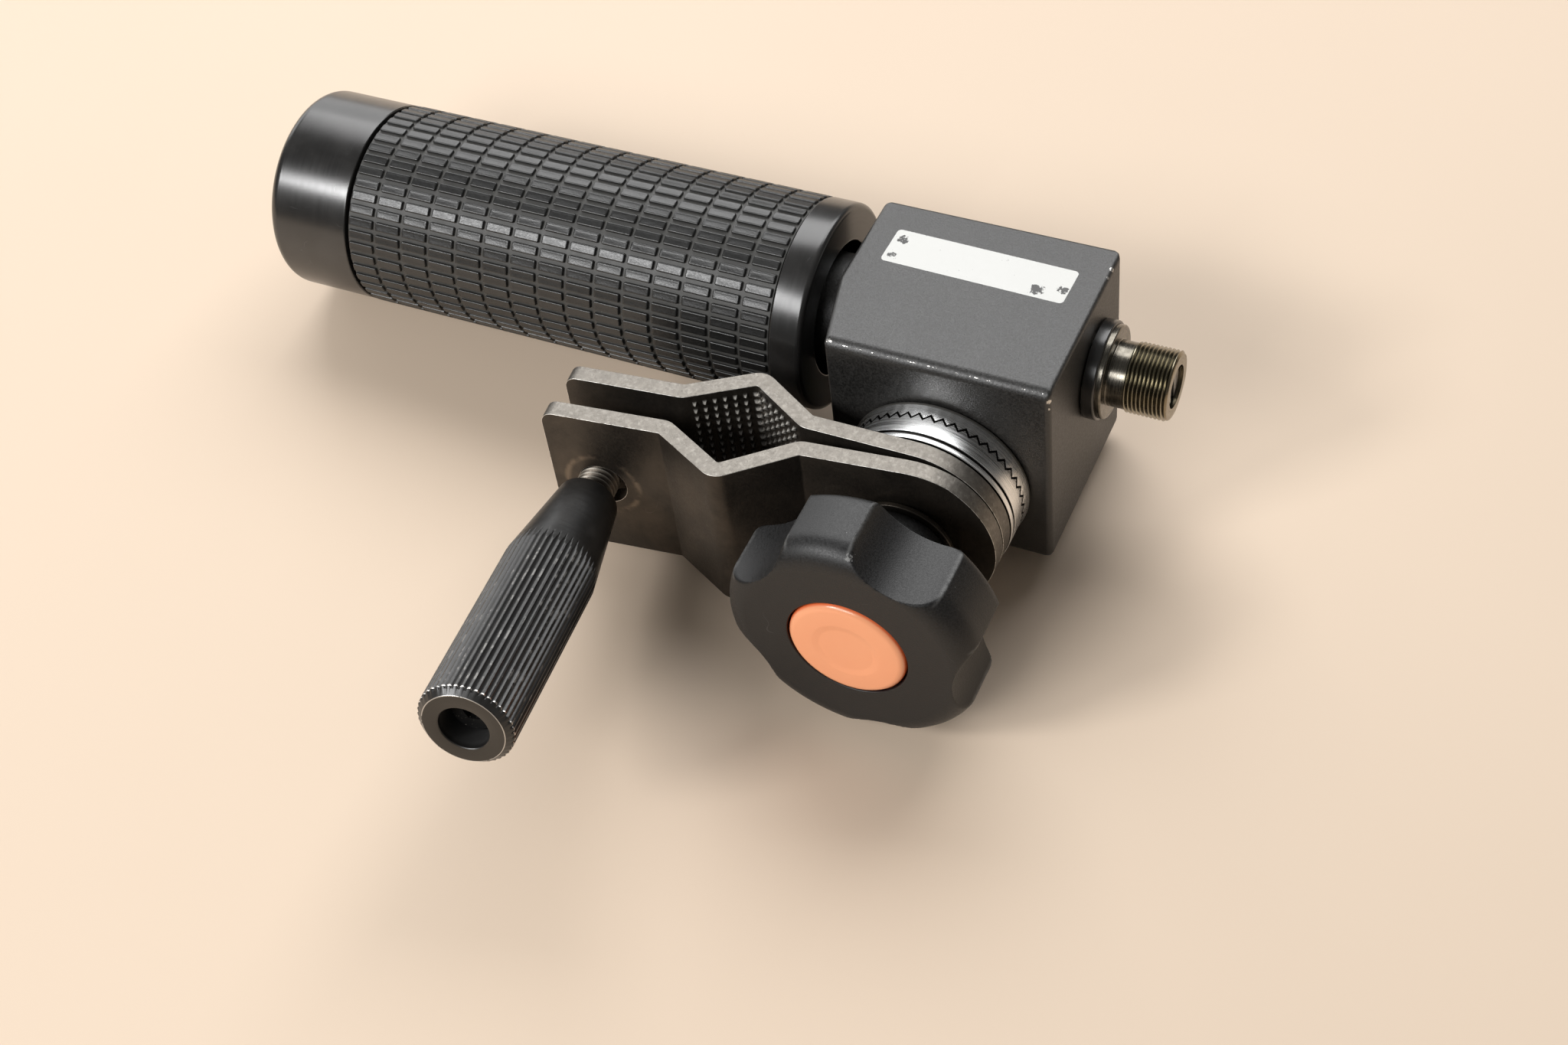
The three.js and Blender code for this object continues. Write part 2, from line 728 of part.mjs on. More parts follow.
// The knob's body: a turned blank with a round flute between each two lobes.
function knobBodySolid() {
  const k = knob;
  let solid = solidOf(turned([
    [k.insertRadius + gap, neckStart],
    [k.neckRadius, neckStart],
    [k.neckFlare, knobBack],
    ...roundCorner(k.radius - k.backRound, knobBack + k.backRound, k.backRound, -90, 0, 2),
    ...roundCorner(k.radius - k.frontRound, knobFront - k.frontRound, k.frontRound, 0, 90),
    [k.capRadius + gap, knobFront],
    [k.capRadius + gap, capFloor],
    [k.insertRadius + gap, capFloor],
  ], k.lobes * 8));
  const half = THREE.MathUtils.degToRad(180 / k.lobes - k.lobeDegrees / 2);
  const chord = k.radius * Math.sin(half);
  const fluteRadius = (chord * chord + k.fluteDepth * k.fluteDepth) / (2 * k.fluteDepth);
  const fluteCentre = k.radius * Math.cos(half) - k.fluteDepth + fluteRadius;
  for (let i = 0; i < k.lobes; i++) {
    const degrees = k.firstLobeDegrees + (360 / k.lobes) * (i + 1 / 2);
    const angle = THREE.MathUtils.degToRad(degrees);
    const flute = rod(fluteRadius, knobBack - overrun, knobFront + overrun, fine);
    flute.translate(-fluteCentre * Math.cos(angle), 0, fluteCentre * Math.sin(angle));
    solid = solid.subtract(solidOf(flute));
  }
  return solid;
}

function knobInsertSolid() {
  return ring(knob.insertRadius, stud.radius + gap, neckStart, capFloor - knob.insertCover);
}

function knobCapSolid() {
  const { capRadius, capRound, capProud, capDish, capDishRadius } = knob;
  const top = knobFront + capProud;
  return turned([
    [0, capFloor + gap],
    [capRadius, capFloor + gap],
    ...roundCorner(capRadius - capRound, top - capRound, capRound, 0, 90, 3),
    [capDishRadius + capDish, top],
    [capDishRadius, top - capDish],
    [0, top - capDish],
  ], medium);
}

// Puts a shape made along the clamp screw's axis into the swivel's frame.
function leaning(geometry) {
  geometry.rotateX(THREE.MathUtils.degToRad(clamp.liftDegrees));
  geometry.rotateZ(THREE.MathUtils.degToRad(clamp.yawDegrees));
  return geometry.translate(clampU, clampD, clamp.rise);
}

function clampScrewSolid() {
  const { radius, tip, tipChamfer, ringStation, ringThickness, ringGroove, screwEnd } = clamp;
  const grooveEnd = ringStation + ringThickness + gap;
  return turned([
    [0, tip],
    [radius - tipChamfer, tip],
    [radius, tip + tipChamfer],
    [radius, ringStation - gap],
    [radius - ringGroove, ringStation - gap],
    [radius - ringGroove, grooveEnd],
    [radius, grooveEnd],
    [radius, screwEnd],
    [0, screwEnd],
  ], coarse);
}

function stopRingSolid() {
  const { radius, ringRadius, ringGroove, ringStation, ringThickness } = clamp;
  return ring(ringRadius, radius - ringGroove + gap, ringStation, ringStation + ringThickness);
}

// The knurl's outline: as many vees round the handle as it has lines.
function knurlOutline() {
  const { handleRadius, knurls, knurlDepth } = clamp;
  const points = Array.from({ length: 2 * knurls }, (_, i) => {
    const reach = i % 2 ? handleRadius + knurlDepth / 2 : handleRadius - knurlDepth;
    const angle = (Math.PI * i) / knurls;
    return new THREE.Vector2(reach * Math.cos(angle), reach * Math.sin(angle));
  });
  return new THREE.Shape(points);
}

function handleSolid() {
  const c = clamp;
  const knurlStart = c.coneEnd - c.knurlRun;
  const body = solidOf(turned([
    [0, c.neckStart],
    [c.neckRadius, c.neckStart],
    [c.handleRadius, c.coneEnd],
    [c.handleRadius, c.end - c.endChamfer],
    [c.handleRadius - c.endChamfer, c.end],
    [0, c.end],
  ], c.knurls));
  const knurl = extruded(knurlOutline(), c.end + overrun - knurlStart).rotateX(-Math.PI / 2);
  const plain = rod(c.handleRadius, c.neckStart, knurlStart, c.knurls);
  const skin = solidOf(knurl.translate(0, knurlStart, 0)).add(solidOf(plain));
  const tap = solidOf(rod(c.radius + gap, c.neckStart - overrun, c.screwEnd + gap));
  const throat = solidOf(rod(c.boltRadius + gap, c.screwEnd, c.end));
  const recess = solidOf(rod(c.recessRadius, c.end - c.recessDepth, c.end + overrun, medium));
  return body.intersect(skin).subtract(tap).subtract(throat).subtract(recess);
}

function handleBoltSolid() {
  const { end, screwEnd, recessDepth, recessRadius, boltRadius, boltHeadHeight, keyDepth } = clamp;
  const start = screwEnd + 2 * gap;
  const floor = end - recessDepth + gap;
  const top = floor + boltHeadHeight;
  const bolt = solidOf(turned([
    [0, start],
    [boltRadius, start],
    [boltRadius, floor],
    [recessRadius - gap, floor],
    [recessRadius - gap, top],
    [0, top],
  ], coarse));
  return bolt.subtract(solidOf(rod(clamp.keyRadius, top - keyDepth, top + overrun, 6)));
}

function driveLine() {
  const group = new THREE.Group();
  group.rotation.z = -Math.PI / 2;
  group.add(
    named("bush_left", bushSolid(bushLeftStart, bushLeftEnd), "bronze"),
    named("bush_right", bushSolid(bushRightStart, bushRightEnd), "bronze"),
    named("drag_ring", dragSolid(), "felt"),
    named("cable_nipple", nippleSolid(), "brownSteel"),
    named("nipple_ring", nippleRingSolid(), "blackAnodised"),
    named("drive_shaft", shaftSolid(), "steel"),
    named("shaft_retainer", retainerSolid(), "steel"),
    named("drive_dog", dogSolid(), "steel"),
    named("grip_barrel", barrelSolid(), "blackAnodised"),
    named("grip_sleeve", sleeveSolid(), "rubber"),
    named("grip_end_cap", gripCapSolid(), "blackAnodised"),
    named("grip_bolt", gripBoltSolid(), "steel"),
  );
  return group;
}

function clampScrewGroup() {
  const group = new THREE.Group();
  group.position.set(clampU, clampD, clamp.rise);
  group.rotation.order = "ZYX";
  group.rotation.z = THREE.MathUtils.degToRad(clamp.yawDegrees);
  group.rotation.x = THREE.MathUtils.degToRad(clamp.liftDegrees);
  group.add(
    named("clamp_screw", clampScrewSolid(), "blackenedSteel"),
    named("screw_stop_ring", stopRingSolid(), "steel"),
    named("clamp_handle", handleSolid(), "blackAnodised"),
    named("handle_bolt", handleBoltSolid(), "blackenedSteel"),
  );
  return group;
}

// The swivel's own frame: X runs out along the arm, Y out from the housing, Z up.
function swivelGroup() {
  const group = new THREE.Group();
  group.position.set(swivelX, -housing.front, swivelZ);
  group.rotation.z = Math.PI;
  rosetteScrewPlaces().forEach(({ x, z }, i) => {
    const screw = named(`rosette_screw_${i + 1}`, rosetteScrewSolid(), "steel");
    screw.position.set(x, 0, z);
    group.add(screw);
  });
  const studEnd = capFloor - stud.endMargin;
  const tubeStart = swivel.toothPlane - swivel.webDepth + gap;
  const tubeEnd = frontPlateBack + plate.thickness;
  const washerEnd = washerSeat + knob.washerThickness;
  const bore = stud.radius + gap;
  group.add(
    named("rosette_fixed", fixedRosetteSolid(), "chrome"),
    named("rosette_stud", rod(stud.radius, -stud.rootDepth, studEnd), "steel"),
    named("rosette_arm", armRosetteSolid(), "chrome"),
    named("pivot_tube", ring(swivel.tubeRadius, bore, tubeStart, tubeEnd), "steel"),
    named("rear_jaw_plate", rearPlateSolid(), "blackenedSteel"),
    named("front_jaw_plate", frontPlateSolid(), "blackenedSteel"),
    named("knob_washer", ring(knob.washerRadius, bore, washerSeat, washerEnd), "steel"),
    named("knob_body", knobBodySolid(), "blackPlastic"),
    named("knob_insert", knobInsertSolid(), "bronze"),
    named("knob_cap", knobCapSolid(), "orangePlastic"),
    clampScrewGroup(),
  );
  return group;
}

// The corners of a mesh's triangles, three by three, where the mesh is placed.
function placedCorners(mesh) {
  const flat = mesh.geometry.index ? mesh.geometry.toNonIndexed() : mesh.geometry;
  const places = flat.attributes.position;
  return Array.from({ length: places.count }, (_, i) => {
    const corner = new THREE.Vector3().fromBufferAttribute(places, i);
    return corner.applyMatrix4(mesh.matrixWorld);
  });
}

// The centre of the volume that closed triangle meshes enclose.
function volumeCentre(corners) {
  const sum = new THREE.Vector3();
  let volume = 0;
  for (let i = 0; i < corners.length; i += 3) {
    const [a, b, c] = corners.slice(i, i + 3);
    const wedge = a.dot(b.clone().cross(c));
    sum.addScaledVector(a.clone().add(b).add(c), wedge);
    volume += wedge;
  }
  return sum.divideScalar(4 * volume);
}

// Lays the control on the three points that it rests on, with its middle over the origin. They
// are the corners of its hull's face that lies straight under its centre.
function layDown(unit) {
  const stand = new THREE.Group();
  stand.add(unit);
  stand.updateMatrixWorld(true);
  const corners = [];
  unit.traverse((object) => {
    if (object.isMesh) corners.push(...placedCorners(object));
  });
  const centre = volumeCentre(corners);
  const down = new THREE.Vector3(0, 0, -1);
  const drop = (face) => {
    const slope = face.normal.dot(down);
    return slope > 0 ? -face.distanceToPoint(centre) / slope : Infinity;
  };
  const hull = new ConvexHull().setFromPoints(corners);
  const seat = hull.faces.reduce((a, b) => (drop(b) < drop(a) ? b : a));
  unit.quaternion.setFromUnitVectors(seat.normal.clone(), down);
  stand.updateMatrixWorld(true);
  const box = new THREE.Box3().setFromObject(unit, true);
  const middle = box.getCenter(new THREE.Vector3());
  unit.position.set(-middle.x, -middle.y, -box.min.z);
  return stand;
}

const unit = new THREE.Group();
unit.add(named("housing", housingSolid(), "blackPaint"), driveLine(), swivelGroup());

const control = layDown(unit);
export default control;
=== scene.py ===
"""A hand focus control for a studio lens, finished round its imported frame."""
import json
from inspect import signature
from math import acos, ceil, cos, degrees, pi, radians, sin, sqrt, tan, tau
from types import SimpleNamespace as Sizes

import bmesh
import bpy
from mathutils import Matrix, Vector


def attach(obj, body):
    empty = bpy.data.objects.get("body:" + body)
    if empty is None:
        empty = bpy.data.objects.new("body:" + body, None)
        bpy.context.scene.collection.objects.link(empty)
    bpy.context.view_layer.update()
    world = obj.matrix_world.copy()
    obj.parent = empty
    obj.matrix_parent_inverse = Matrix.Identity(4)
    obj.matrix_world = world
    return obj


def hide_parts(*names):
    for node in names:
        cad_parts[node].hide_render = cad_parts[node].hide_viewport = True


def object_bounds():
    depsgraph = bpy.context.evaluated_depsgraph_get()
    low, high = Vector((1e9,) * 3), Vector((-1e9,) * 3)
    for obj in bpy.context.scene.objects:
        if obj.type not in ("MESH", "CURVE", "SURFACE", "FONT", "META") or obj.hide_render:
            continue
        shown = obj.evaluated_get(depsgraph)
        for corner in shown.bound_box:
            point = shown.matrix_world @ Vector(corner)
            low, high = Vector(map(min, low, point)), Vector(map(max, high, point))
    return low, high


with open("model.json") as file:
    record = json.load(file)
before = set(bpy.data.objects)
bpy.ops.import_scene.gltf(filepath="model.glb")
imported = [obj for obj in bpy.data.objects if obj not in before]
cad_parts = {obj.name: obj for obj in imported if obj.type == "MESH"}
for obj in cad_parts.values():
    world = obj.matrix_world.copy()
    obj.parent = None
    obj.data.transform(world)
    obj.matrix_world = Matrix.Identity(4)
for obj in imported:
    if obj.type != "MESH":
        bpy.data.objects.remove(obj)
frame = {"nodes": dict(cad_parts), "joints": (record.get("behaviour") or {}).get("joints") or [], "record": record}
cad_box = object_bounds()

# Sizes in millimetres. Along the grip's axis, stations are counted from the front left edge of
# the housing; on the swivel, out from the housing's front face. The columns of the rosettes, the
# knob and the handle are those of one tooth, flute or knurl.
MM = 0.001
GAP = 0.3
FINE = 160  # columns round the large turned pieces
MEDIUM = 96
COARSE = 48
SOFT = 0.12  # the radius of an edge that has none of its own
BEYOND = 1  # how far a cutter stands out of what it cuts
block = Sizes(left=-4.3, right=44.3, front=-25.3, back=15.6, top=16.6, bottom=-29.0, taper=17.3,
              corner=2.3, top_edge=1.0, bottom_edge=2.0, neck=11.0, neck_end=-18.3,
              neck_chamfer=0.6, seat=8.6, passage=7.5, left_seat_end=-0.4, right_seat_start=20.0,
              swivel_x=22.15, swivel_z=-10.9)
grip = Sizes(radius=21.0, flange_start=-15.0, flange_end=-8.4, cap_seam=-111.5, end=-131.0,
             seam=0.6, core=18.4, shell=15.4, mouth=13.6, hub_start=-24.0, hub_end=-52.0,
             end_round=2.6, end_radius=20.93, dish_radius=15.0, dish_depth=0.8, spigot=9.0)
pad = Sizes(around=48, along=15, length=5.8, width=1.95, height=0.6, corner=0.35, rim=0.32,
            hollow=0.07, sunk=0.3, side_drop=0.2, side_inset=0.06, edge_drop=0.06, edge_inset=0.13,
            seed=7)
shaft = Sizes(radius=5.0, tip=3.0, end=55.0)
nipple = Sizes(spigot=6.0, ring_width=1.2, ring_thickness=2.5, flange=9.25, flange_start=2.7,
               flange_end=4.0, neck=6.5, neck_end=7.2, crest=6.94, root=6.4, pitch=0.8,
               chamfer=0.5, end=16.0, bore=4.3)
dog = Sizes(radius=4.0, start=50.5, end=59.5, slot_width=1.8, slot_depth=3.2)
rosette = Sizes(radius=17.9, teeth=48, columns=4, base=1.1, flare=0.3, plane=4.1, gap=0.3,
                height=1.25, inner=12.4, web=2.3, arm_web=7.42, arm_end=9.42, groove_start=7.72,
                groove_end=8.42, groove_depth=0.5, boss=10.0, tube=6.2, stud=4.0,
                screw_circle=9.2, screws=3, screw_radius=1.5, screw_length=9.0)
plate = Sizes(thickness=3.5, half_height=17.6, length=71.0, corner=2.6, bend=2.4, rear_back=9.72,
              front_back=13.52, bevel=0.5)
REAR_JAW = Sizes(side=-1, lead=3.6, near=12.7, far=12.8, depth=7.8, rise=2.4, splay_start=0.0,
                 splay=0.0, vee_splay=0.4, hub_hole=10.3, screw_hole=(63.5, -1.8, 4.5))
FRONT_JAW = Sizes(side=1, lead=2.1, near=12.6, far=13.7, depth=8.8, rise=2.7, splay_start=-9.0,
                  splay=2.9, vee_splay=3.4, hub_hole=6.5, screw_hole=(60.8, 0.0, 4.9))
vee_tooth = Sizes(pitch=1.95, columns=7, rows=17, base=1.15, height=0.85, sunk=0.2)
knob = Sizes(radius=25.0, washer_start=19.0, washer_end=20.1, washer=10.5, neck_start=20.4,
             neck=9.5, neck_flare=12.5, back=31.2, front=46.2, front_round=5.0, back_round=1.5,
             flutes=5, columns=84, first_flute=66.0, flute_radius=14.88, flute_centre=35.22,
             softness=0.35, cap=11.5, cap_floor=42.8, cap_proud=0.6, dish=6.6, dish_floor=5.3,
             dish_depth=0.22, insert=7.0, tube_start=2.6, tube_end=17.02, stud_root=-12.0,
             stud_end=42.0, nick=(1.6, 23.4, 44.0))
clamp = Sizes(radius=4.0, tip=-23.6, ring=-22.0, ring_width=1.0, ring_radius=5.8, ring_groove=0.9,
              pitch=1.25, thread_depth=0.75, thread_chamfer=0.6, thread_end=5.0, screw_end=30.0,
              neck=6.0, neck_start=4.5, knurl_start=21.0, cone_end=26.2, end=68.2, handle=9.0,
              knurls=44, columns=8, knurl_depth=0.42, knurl_crest=9.25, end_chamfer=1.3,
              recess=4.7, recess_depth=7.9, bolt=3.4, bolt_head=3.2, key=2.0, key_depth=1.8)

# The bare white rectangle on the housing, and its chips: place, reach, size and seed.
label = Sizes(centre=(19.9, 3.05), half=(18.6, 4.65), corner=0.9, turn=-1.3, chips=(
    ((3.4, 5.6, block.top), 3.2, 1.3, 6.0), ((3.2, 0.6, block.top), 3.0, 1.4, 8.0),
    ((32.5, 0.3, block.top), 4.4, 1.2, 9.0), ((37.2, 1.4, block.top), 3.4, 0.9, 10.0)))
# Chips in the housing's paint: place and reach.
CORNER_CHIPS = (((0.6, block.front + 0.9, block.top - 0.5), 1.5),
                ((block.right - 0.3, block.front + 0.4, block.top - 2.2), 1.7),
                ((block.right - 0.2, block.front + 0.3, block.top - 4.0), 1.1),
                ((block.right - 0.3, 10.0, block.top - 0.2), 1.6),
                ((block.right - 0.3, 7.6, block.top - 0.2), 1.0))
# The ring rubbed on the front plate round the clamp screw: its centre and radius.
RING_MARK = ((FRONT_JAW.screw_hole[0], 23.0, 0.0), 7.6)

BODY = {node: body for body, nodes in frame["record"]["behaviour"]["bodies"].items()
        for node in nodes}


# Places: matrices from a local frame in millimetres to the row's frame in metres.
def place_matrix(origin, x, y, z):
    matrix = (Matrix((x, y, z)).transposed() * MM).to_4x4()
    matrix.translation = origin
    return matrix


def joint(name):
    found = next(entry for entry in frame["joints"] if entry["name"] == name)
    return Vector(found["pos_m"]), Vector(found["axis"]).normalized()


axle_origin, along = joint("grip_spin")
swivel_origin, out = joint("knob_turn")
screw_origin, screw_axis = joint("handle_turn")
up = out.cross(along)
screw_side = up.cross(screw_axis).normalized()
BLOCK = place_matrix(axle_origin, along, -out, up)
AXLE = place_matrix(axle_origin, up, out, along)
SWIVEL = place_matrix(swivel_origin, along, up, out)
ARM = place_matrix(swivel_origin, -along, out, up)
SCREW = place_matrix(screw_origin, screw_side, screw_axis.cross(screw_side), screw_axis)


# Nodes
def maths(operation, swapped=False):
    """A method that puts its values through one math node."""
    def method(self, *others, clamp=False):
        values = (*others, self) if swapped else (self, *others)
        return node(self.tree, "ShaderNodeMath", enumerate(values), operation=operation,
                    use_clamp=clamp)[0]
    return method


class Value:
    """What a node puts out, reckoned with as a number is."""

    def __init__(self, tree, socket):
        self.tree, self.socket = tree, socket

    __add__, __radd__ = maths("ADD"), maths("ADD", swapped=True)
    __sub__, __rsub__ = maths("SUBTRACT"), maths("SUBTRACT", swapped=True)
    __mul__, __rmul__ = maths("MULTIPLY"), maths("MULTIPLY", swapped=True)
    __truediv__, __rtruediv__ = maths("DIVIDE"), maths("DIVIDE", swapped=True)
    __pow__, __abs__, floor = maths("POWER"), maths("ABSOLUTE"), maths("FLOOR")
    root, sine, cosine, arctan = maths("SQRT"), maths("SINE"), maths("COSINE"), maths("ARCTAN2")
    least, most, soft_least = maths("MINIMUM"), maths("MAXIMUM"), maths("SMOOTH_MIN")
    above, below, wrap = maths("GREATER_THAN"), maths("LESS_THAN"), maths("WRAP")
    times_plus, pingpong = maths("MULTIPLY_ADD"), maths("PINGPONG")


class Outputs:
    """A node's outputs, taken by number or by name."""

    def __init__(self, tree, sockets):
        self.tree, self.sockets = tree, sockets

    def __getitem__(self, key):
        return Value(self.tree, self.sockets[key])


def fill(tree, socket, value):
    """Puts a number, a colour or another node's output into a socket."""
    if isinstance(value, Value):
        tree.links.new(value.socket, socket)
    elif socket.type == "RGBA":
        socket.default_value = (*value, 1.0)
    else:
        socket.default_value = value


def node(tree, kind, inputs=(), **settings):
    made = tree.nodes.new(kind)
    for key, value in settings.items():
        setattr(made, key, value)
    for key, value in dict(inputs).items():
        fill(tree, made.inputs[key], value)
    return Outputs(tree, made.outputs)


def ramp(value, low, high, start=0.0, end=1.0):
    """Carries a value smoothly from one range to another."""
    return node(value.tree, "ShaderNodeMapRange", {
        "Value": value, "From Min": low, "From Max": high, "To Min": start, "To Max": end,
    }, interpolation_type="SMOOTHSTEP")["Result"]


def mix(share, first, second):
    """Mixes two colours."""
    return node(share.tree, "ShaderNodeMix", {0: share, 6: first, 7: second},
                data_type="RGBA")[2]


def blend(share, first, second):
    """Mixes two numbers."""
    return node(share.tree, "ShaderNodeMix", {0: share, 2: first, 3: second},
                data_type="FLOAT")[0]


def noise(place, size, detail=2.0, roughness=0.5, distortion=0.0, seed=0.0):
    """Noise whose grain is about size millimetres."""
    return node(place.tree, "ShaderNodeTexNoise", {
        "Vector": place, "W": seed, "Scale": 1.0 / size, "Detail": detail,
        "Roughness": roughness, "Distortion": distortion}, noise_dimensions="4D")["Fac"]


def wave(turns):
    """A saw that climbs to 1 at each half turn and falls back to 0."""
    return turns.pingpong(0.5) * 2.0


def highest(first, *others):
    for other in others:
        first = first.most(other)
    return first


def split(vector):
    return [*node(vector.tree, "ShaderNodeSeparateXYZ", {0: vector})]


def polar(vector):
    """Radius, angle and station of a place round the local Z axis."""
    x, y, z = split(vector)
    return (x * x + y * y).root(), y.arctan(x), z


def titled(name):
    """The title of a socket, from a plain name."""
    return name.replace("_", " ").title().replace("Ior", "IOR")


SOCKETS = {float: "NodeSocketFloat", int: "NodeSocketInt"}
VECTOR, GEOMETRY = "NodeSocketVector", "NodeSocketGeometry"
MATERIAL, OBJECT = "NodeSocketMaterial", "NodeSocketObject"


def group_tree(kind, function, outputs, socket):
    """A node group from a function, whose parameters and their defaults are its inputs."""
    tree = bpy.data.node_groups.new(function.__name__, kind)
    parameters = signature(function).parameters
    for name, parameter in parameters.items():
        value = parameter.default
        made = tree.interface.new_socket(titled(name), in_out="INPUT",
                                         socket_type=SOCKETS.get(type(value), value))
        if type(value) in SOCKETS:
            made.default_value = value
    for title in outputs:
        tree.interface.new_socket(title, in_out="OUTPUT", socket_type=socket)
    given = node(tree, "NodeGroupInput")
    results = function(*[given[i] for i in range(len(parameters))])
    node(tree, "NodeGroupOutput", zip(outputs, results))
    return tree


def shader_group(*outputs):
    return lambda function: group_tree("ShaderNodeTree", function, outputs, SOCKETS[float])


def geometry_group(function):
    return group_tree("GeometryNodeTree", function, ["Geometry"], GEOMETRY)


# Shader groups
@shader_group("Radius", "Station", "Angle")
def round_place(place=VECTOR):
    """Radius, station and angle (0 to 1) of a place round the local Z axis."""
    radius, angle, station = polar(place)
    return radius, station, angle / tau


@shader_group("Speckle", "Height")
def fine_grain(place=VECTOR, size=0.3, seed=0.0):
    """A fine speckle: a value about a half, and a height for bump."""
    coarse = noise(place, size, 3.0, 0.6, seed=seed)
    return ramp(coarse, 0.25, 0.75), coarse


@shader_group("Lines")
def turning_lines(radius=0.0, station=0.0, angle=0.0, spacing=0.2):
    """Fine lines left by turning, that run round the local Z axis."""
    turn = angle * tau
    drift = node(turn.tree, "ShaderNodeCombineXYZ", {
        0: turn.cosine(), 1: turn.sine(), 2: (radius + station) / spacing})[0]
    lines = node(turn.tree, "ShaderNodeTexNoise", {
        "Vector": drift, "Scale": 1.0, "Detail": 3.0, "Roughness": 0.6})["Fac"]
    return [lines]


@shader_group("Mask")
def worn_marks(place=VECTOR, where=0.0, size=1.0, level=0.6, seed=0.0):
    """Worn marks: spots that gather where Where is high."""
    spots = noise(place, size, 4.0, 0.65, seed=seed) * where
    return [ramp(spots, level - 0.03, level + 0.03)]


@shader_group("Mask")
def scratches(place=VECTOR, size=6.0, width=0.01, amount=0.5, seed=0.0):
    """Thin wandering scratches, sparse where Amount is low."""
    course = noise(place, size, 1.0, 0.4, 0.6, seed)
    line = ramp(abs(course - 0.5), 0.0, width, 1.0, 0.0)
    part = noise(place, size * 0.6, 2.0, seed=seed + 7.3)
    edge = 1.0 - amount
    return [line * ramp(part, edge, edge + 0.1)]


# Materials
class Finish:
    """A material whose patterns are read in a piece's own millimetres."""

    def __init__(self, name, place, **sockets):
        self.material = bpy.data.materials.new(name)
        self.material.use_nodes = True
        self.tree = self.material.node_tree
        self.coordinates = node(self.tree, "ShaderNodeTexCoord")
        self.turn = place.to_euler("XYZ")
        self.place = self.mapped("Object", Location=place.translation, Scale=(MM, MM, MM))
        self.around = None
        self.set(**sockets)

    def set(self, **sockets):
        """Fills sockets of the shader and gives the material."""
        shader = self.tree.nodes["Principled BSDF"]
        for key, value in sockets.items():
            fill(self.tree, shader.inputs[titled(key)], value)
        return self.material

    def mapped(self, coordinate, **inputs):
        """A coordinate of the object, turned into the piece's own frame."""
        return node(self.tree, "ShaderNodeMapping", {
            "Vector": self.coordinates[coordinate], "Rotation": self.turn, **inputs,
        }, vector_type="TEXTURE")[0]

    def group(self, tree, **inputs):
        inputs = {titled(key): value for key, value in inputs.items()}
        return node(self.tree, "ShaderNodeGroup", {"Place": self.place, **inputs},
                    node_tree=tree)

    def round(self):
        """Radius, station and angle round the piece's axis."""
        if not self.around:
            self.around = [*self.group(round_place)]
        return self.around

    def turning(self, spacing, low, high, depth):
        """Fine turned lines: a roughness between two bounds, and a normal."""
        lines = node(self.tree, "ShaderNodeGroup", enumerate((*self.round(), spacing)),
                     node_tree=turning_lines)[0]
        return ramp(lines, 0.3, 0.7, low, high), self.bump(lines, depth)

    def noise(self, *values, **settings):
        return noise(self.place, *values, **settings)

    def attribute(self, name):
        return node(self.tree, "ShaderNodeAttribute", attribute_name=name)["Fac"]

    def bump(self, height, depth):
        """Bump from a height of 0 to 1 that stands for a depth in millimetres."""
        return node(self.tree, "ShaderNodeBump", {
            "Height": height, "Distance": depth * MM, "Strength": 1.0})[0]

    def worn(self, where, size, level, seed):
        return self.group(worn_marks, where=where, size=size, level=level, seed=seed)["Mask"]

    def scratched(self, size, width, amount):
        return self.group(scratches, size=size, width=width, amount=amount)["Mask"]

    def distance(self, centre):
        return node(self.tree, "ShaderNodeVectorMath", {0: self.place, 1: centre},
                    operation="DISTANCE")["Value"]

    def chips(self, centre, reach, size, seed):
        """Ragged chips that gather about a place."""
        return self.worn(ramp(self.distance(centre), reach, 0.0, 0.0, 1.5), size, 0.6, seed)


def band(value, low, high, soft):
    """One between two bounds, and zero outside them."""
    return ramp(value, low - soft, low + soft) * ramp(value, high - soft, high + soft, 1.0, 0.0)


BARE_METAL = (0.62, 0.6, 0.57)
WORN_GREY = (0.12, 0.12, 0.12)
ANODISED = (0.012, 0.0115, 0.011)


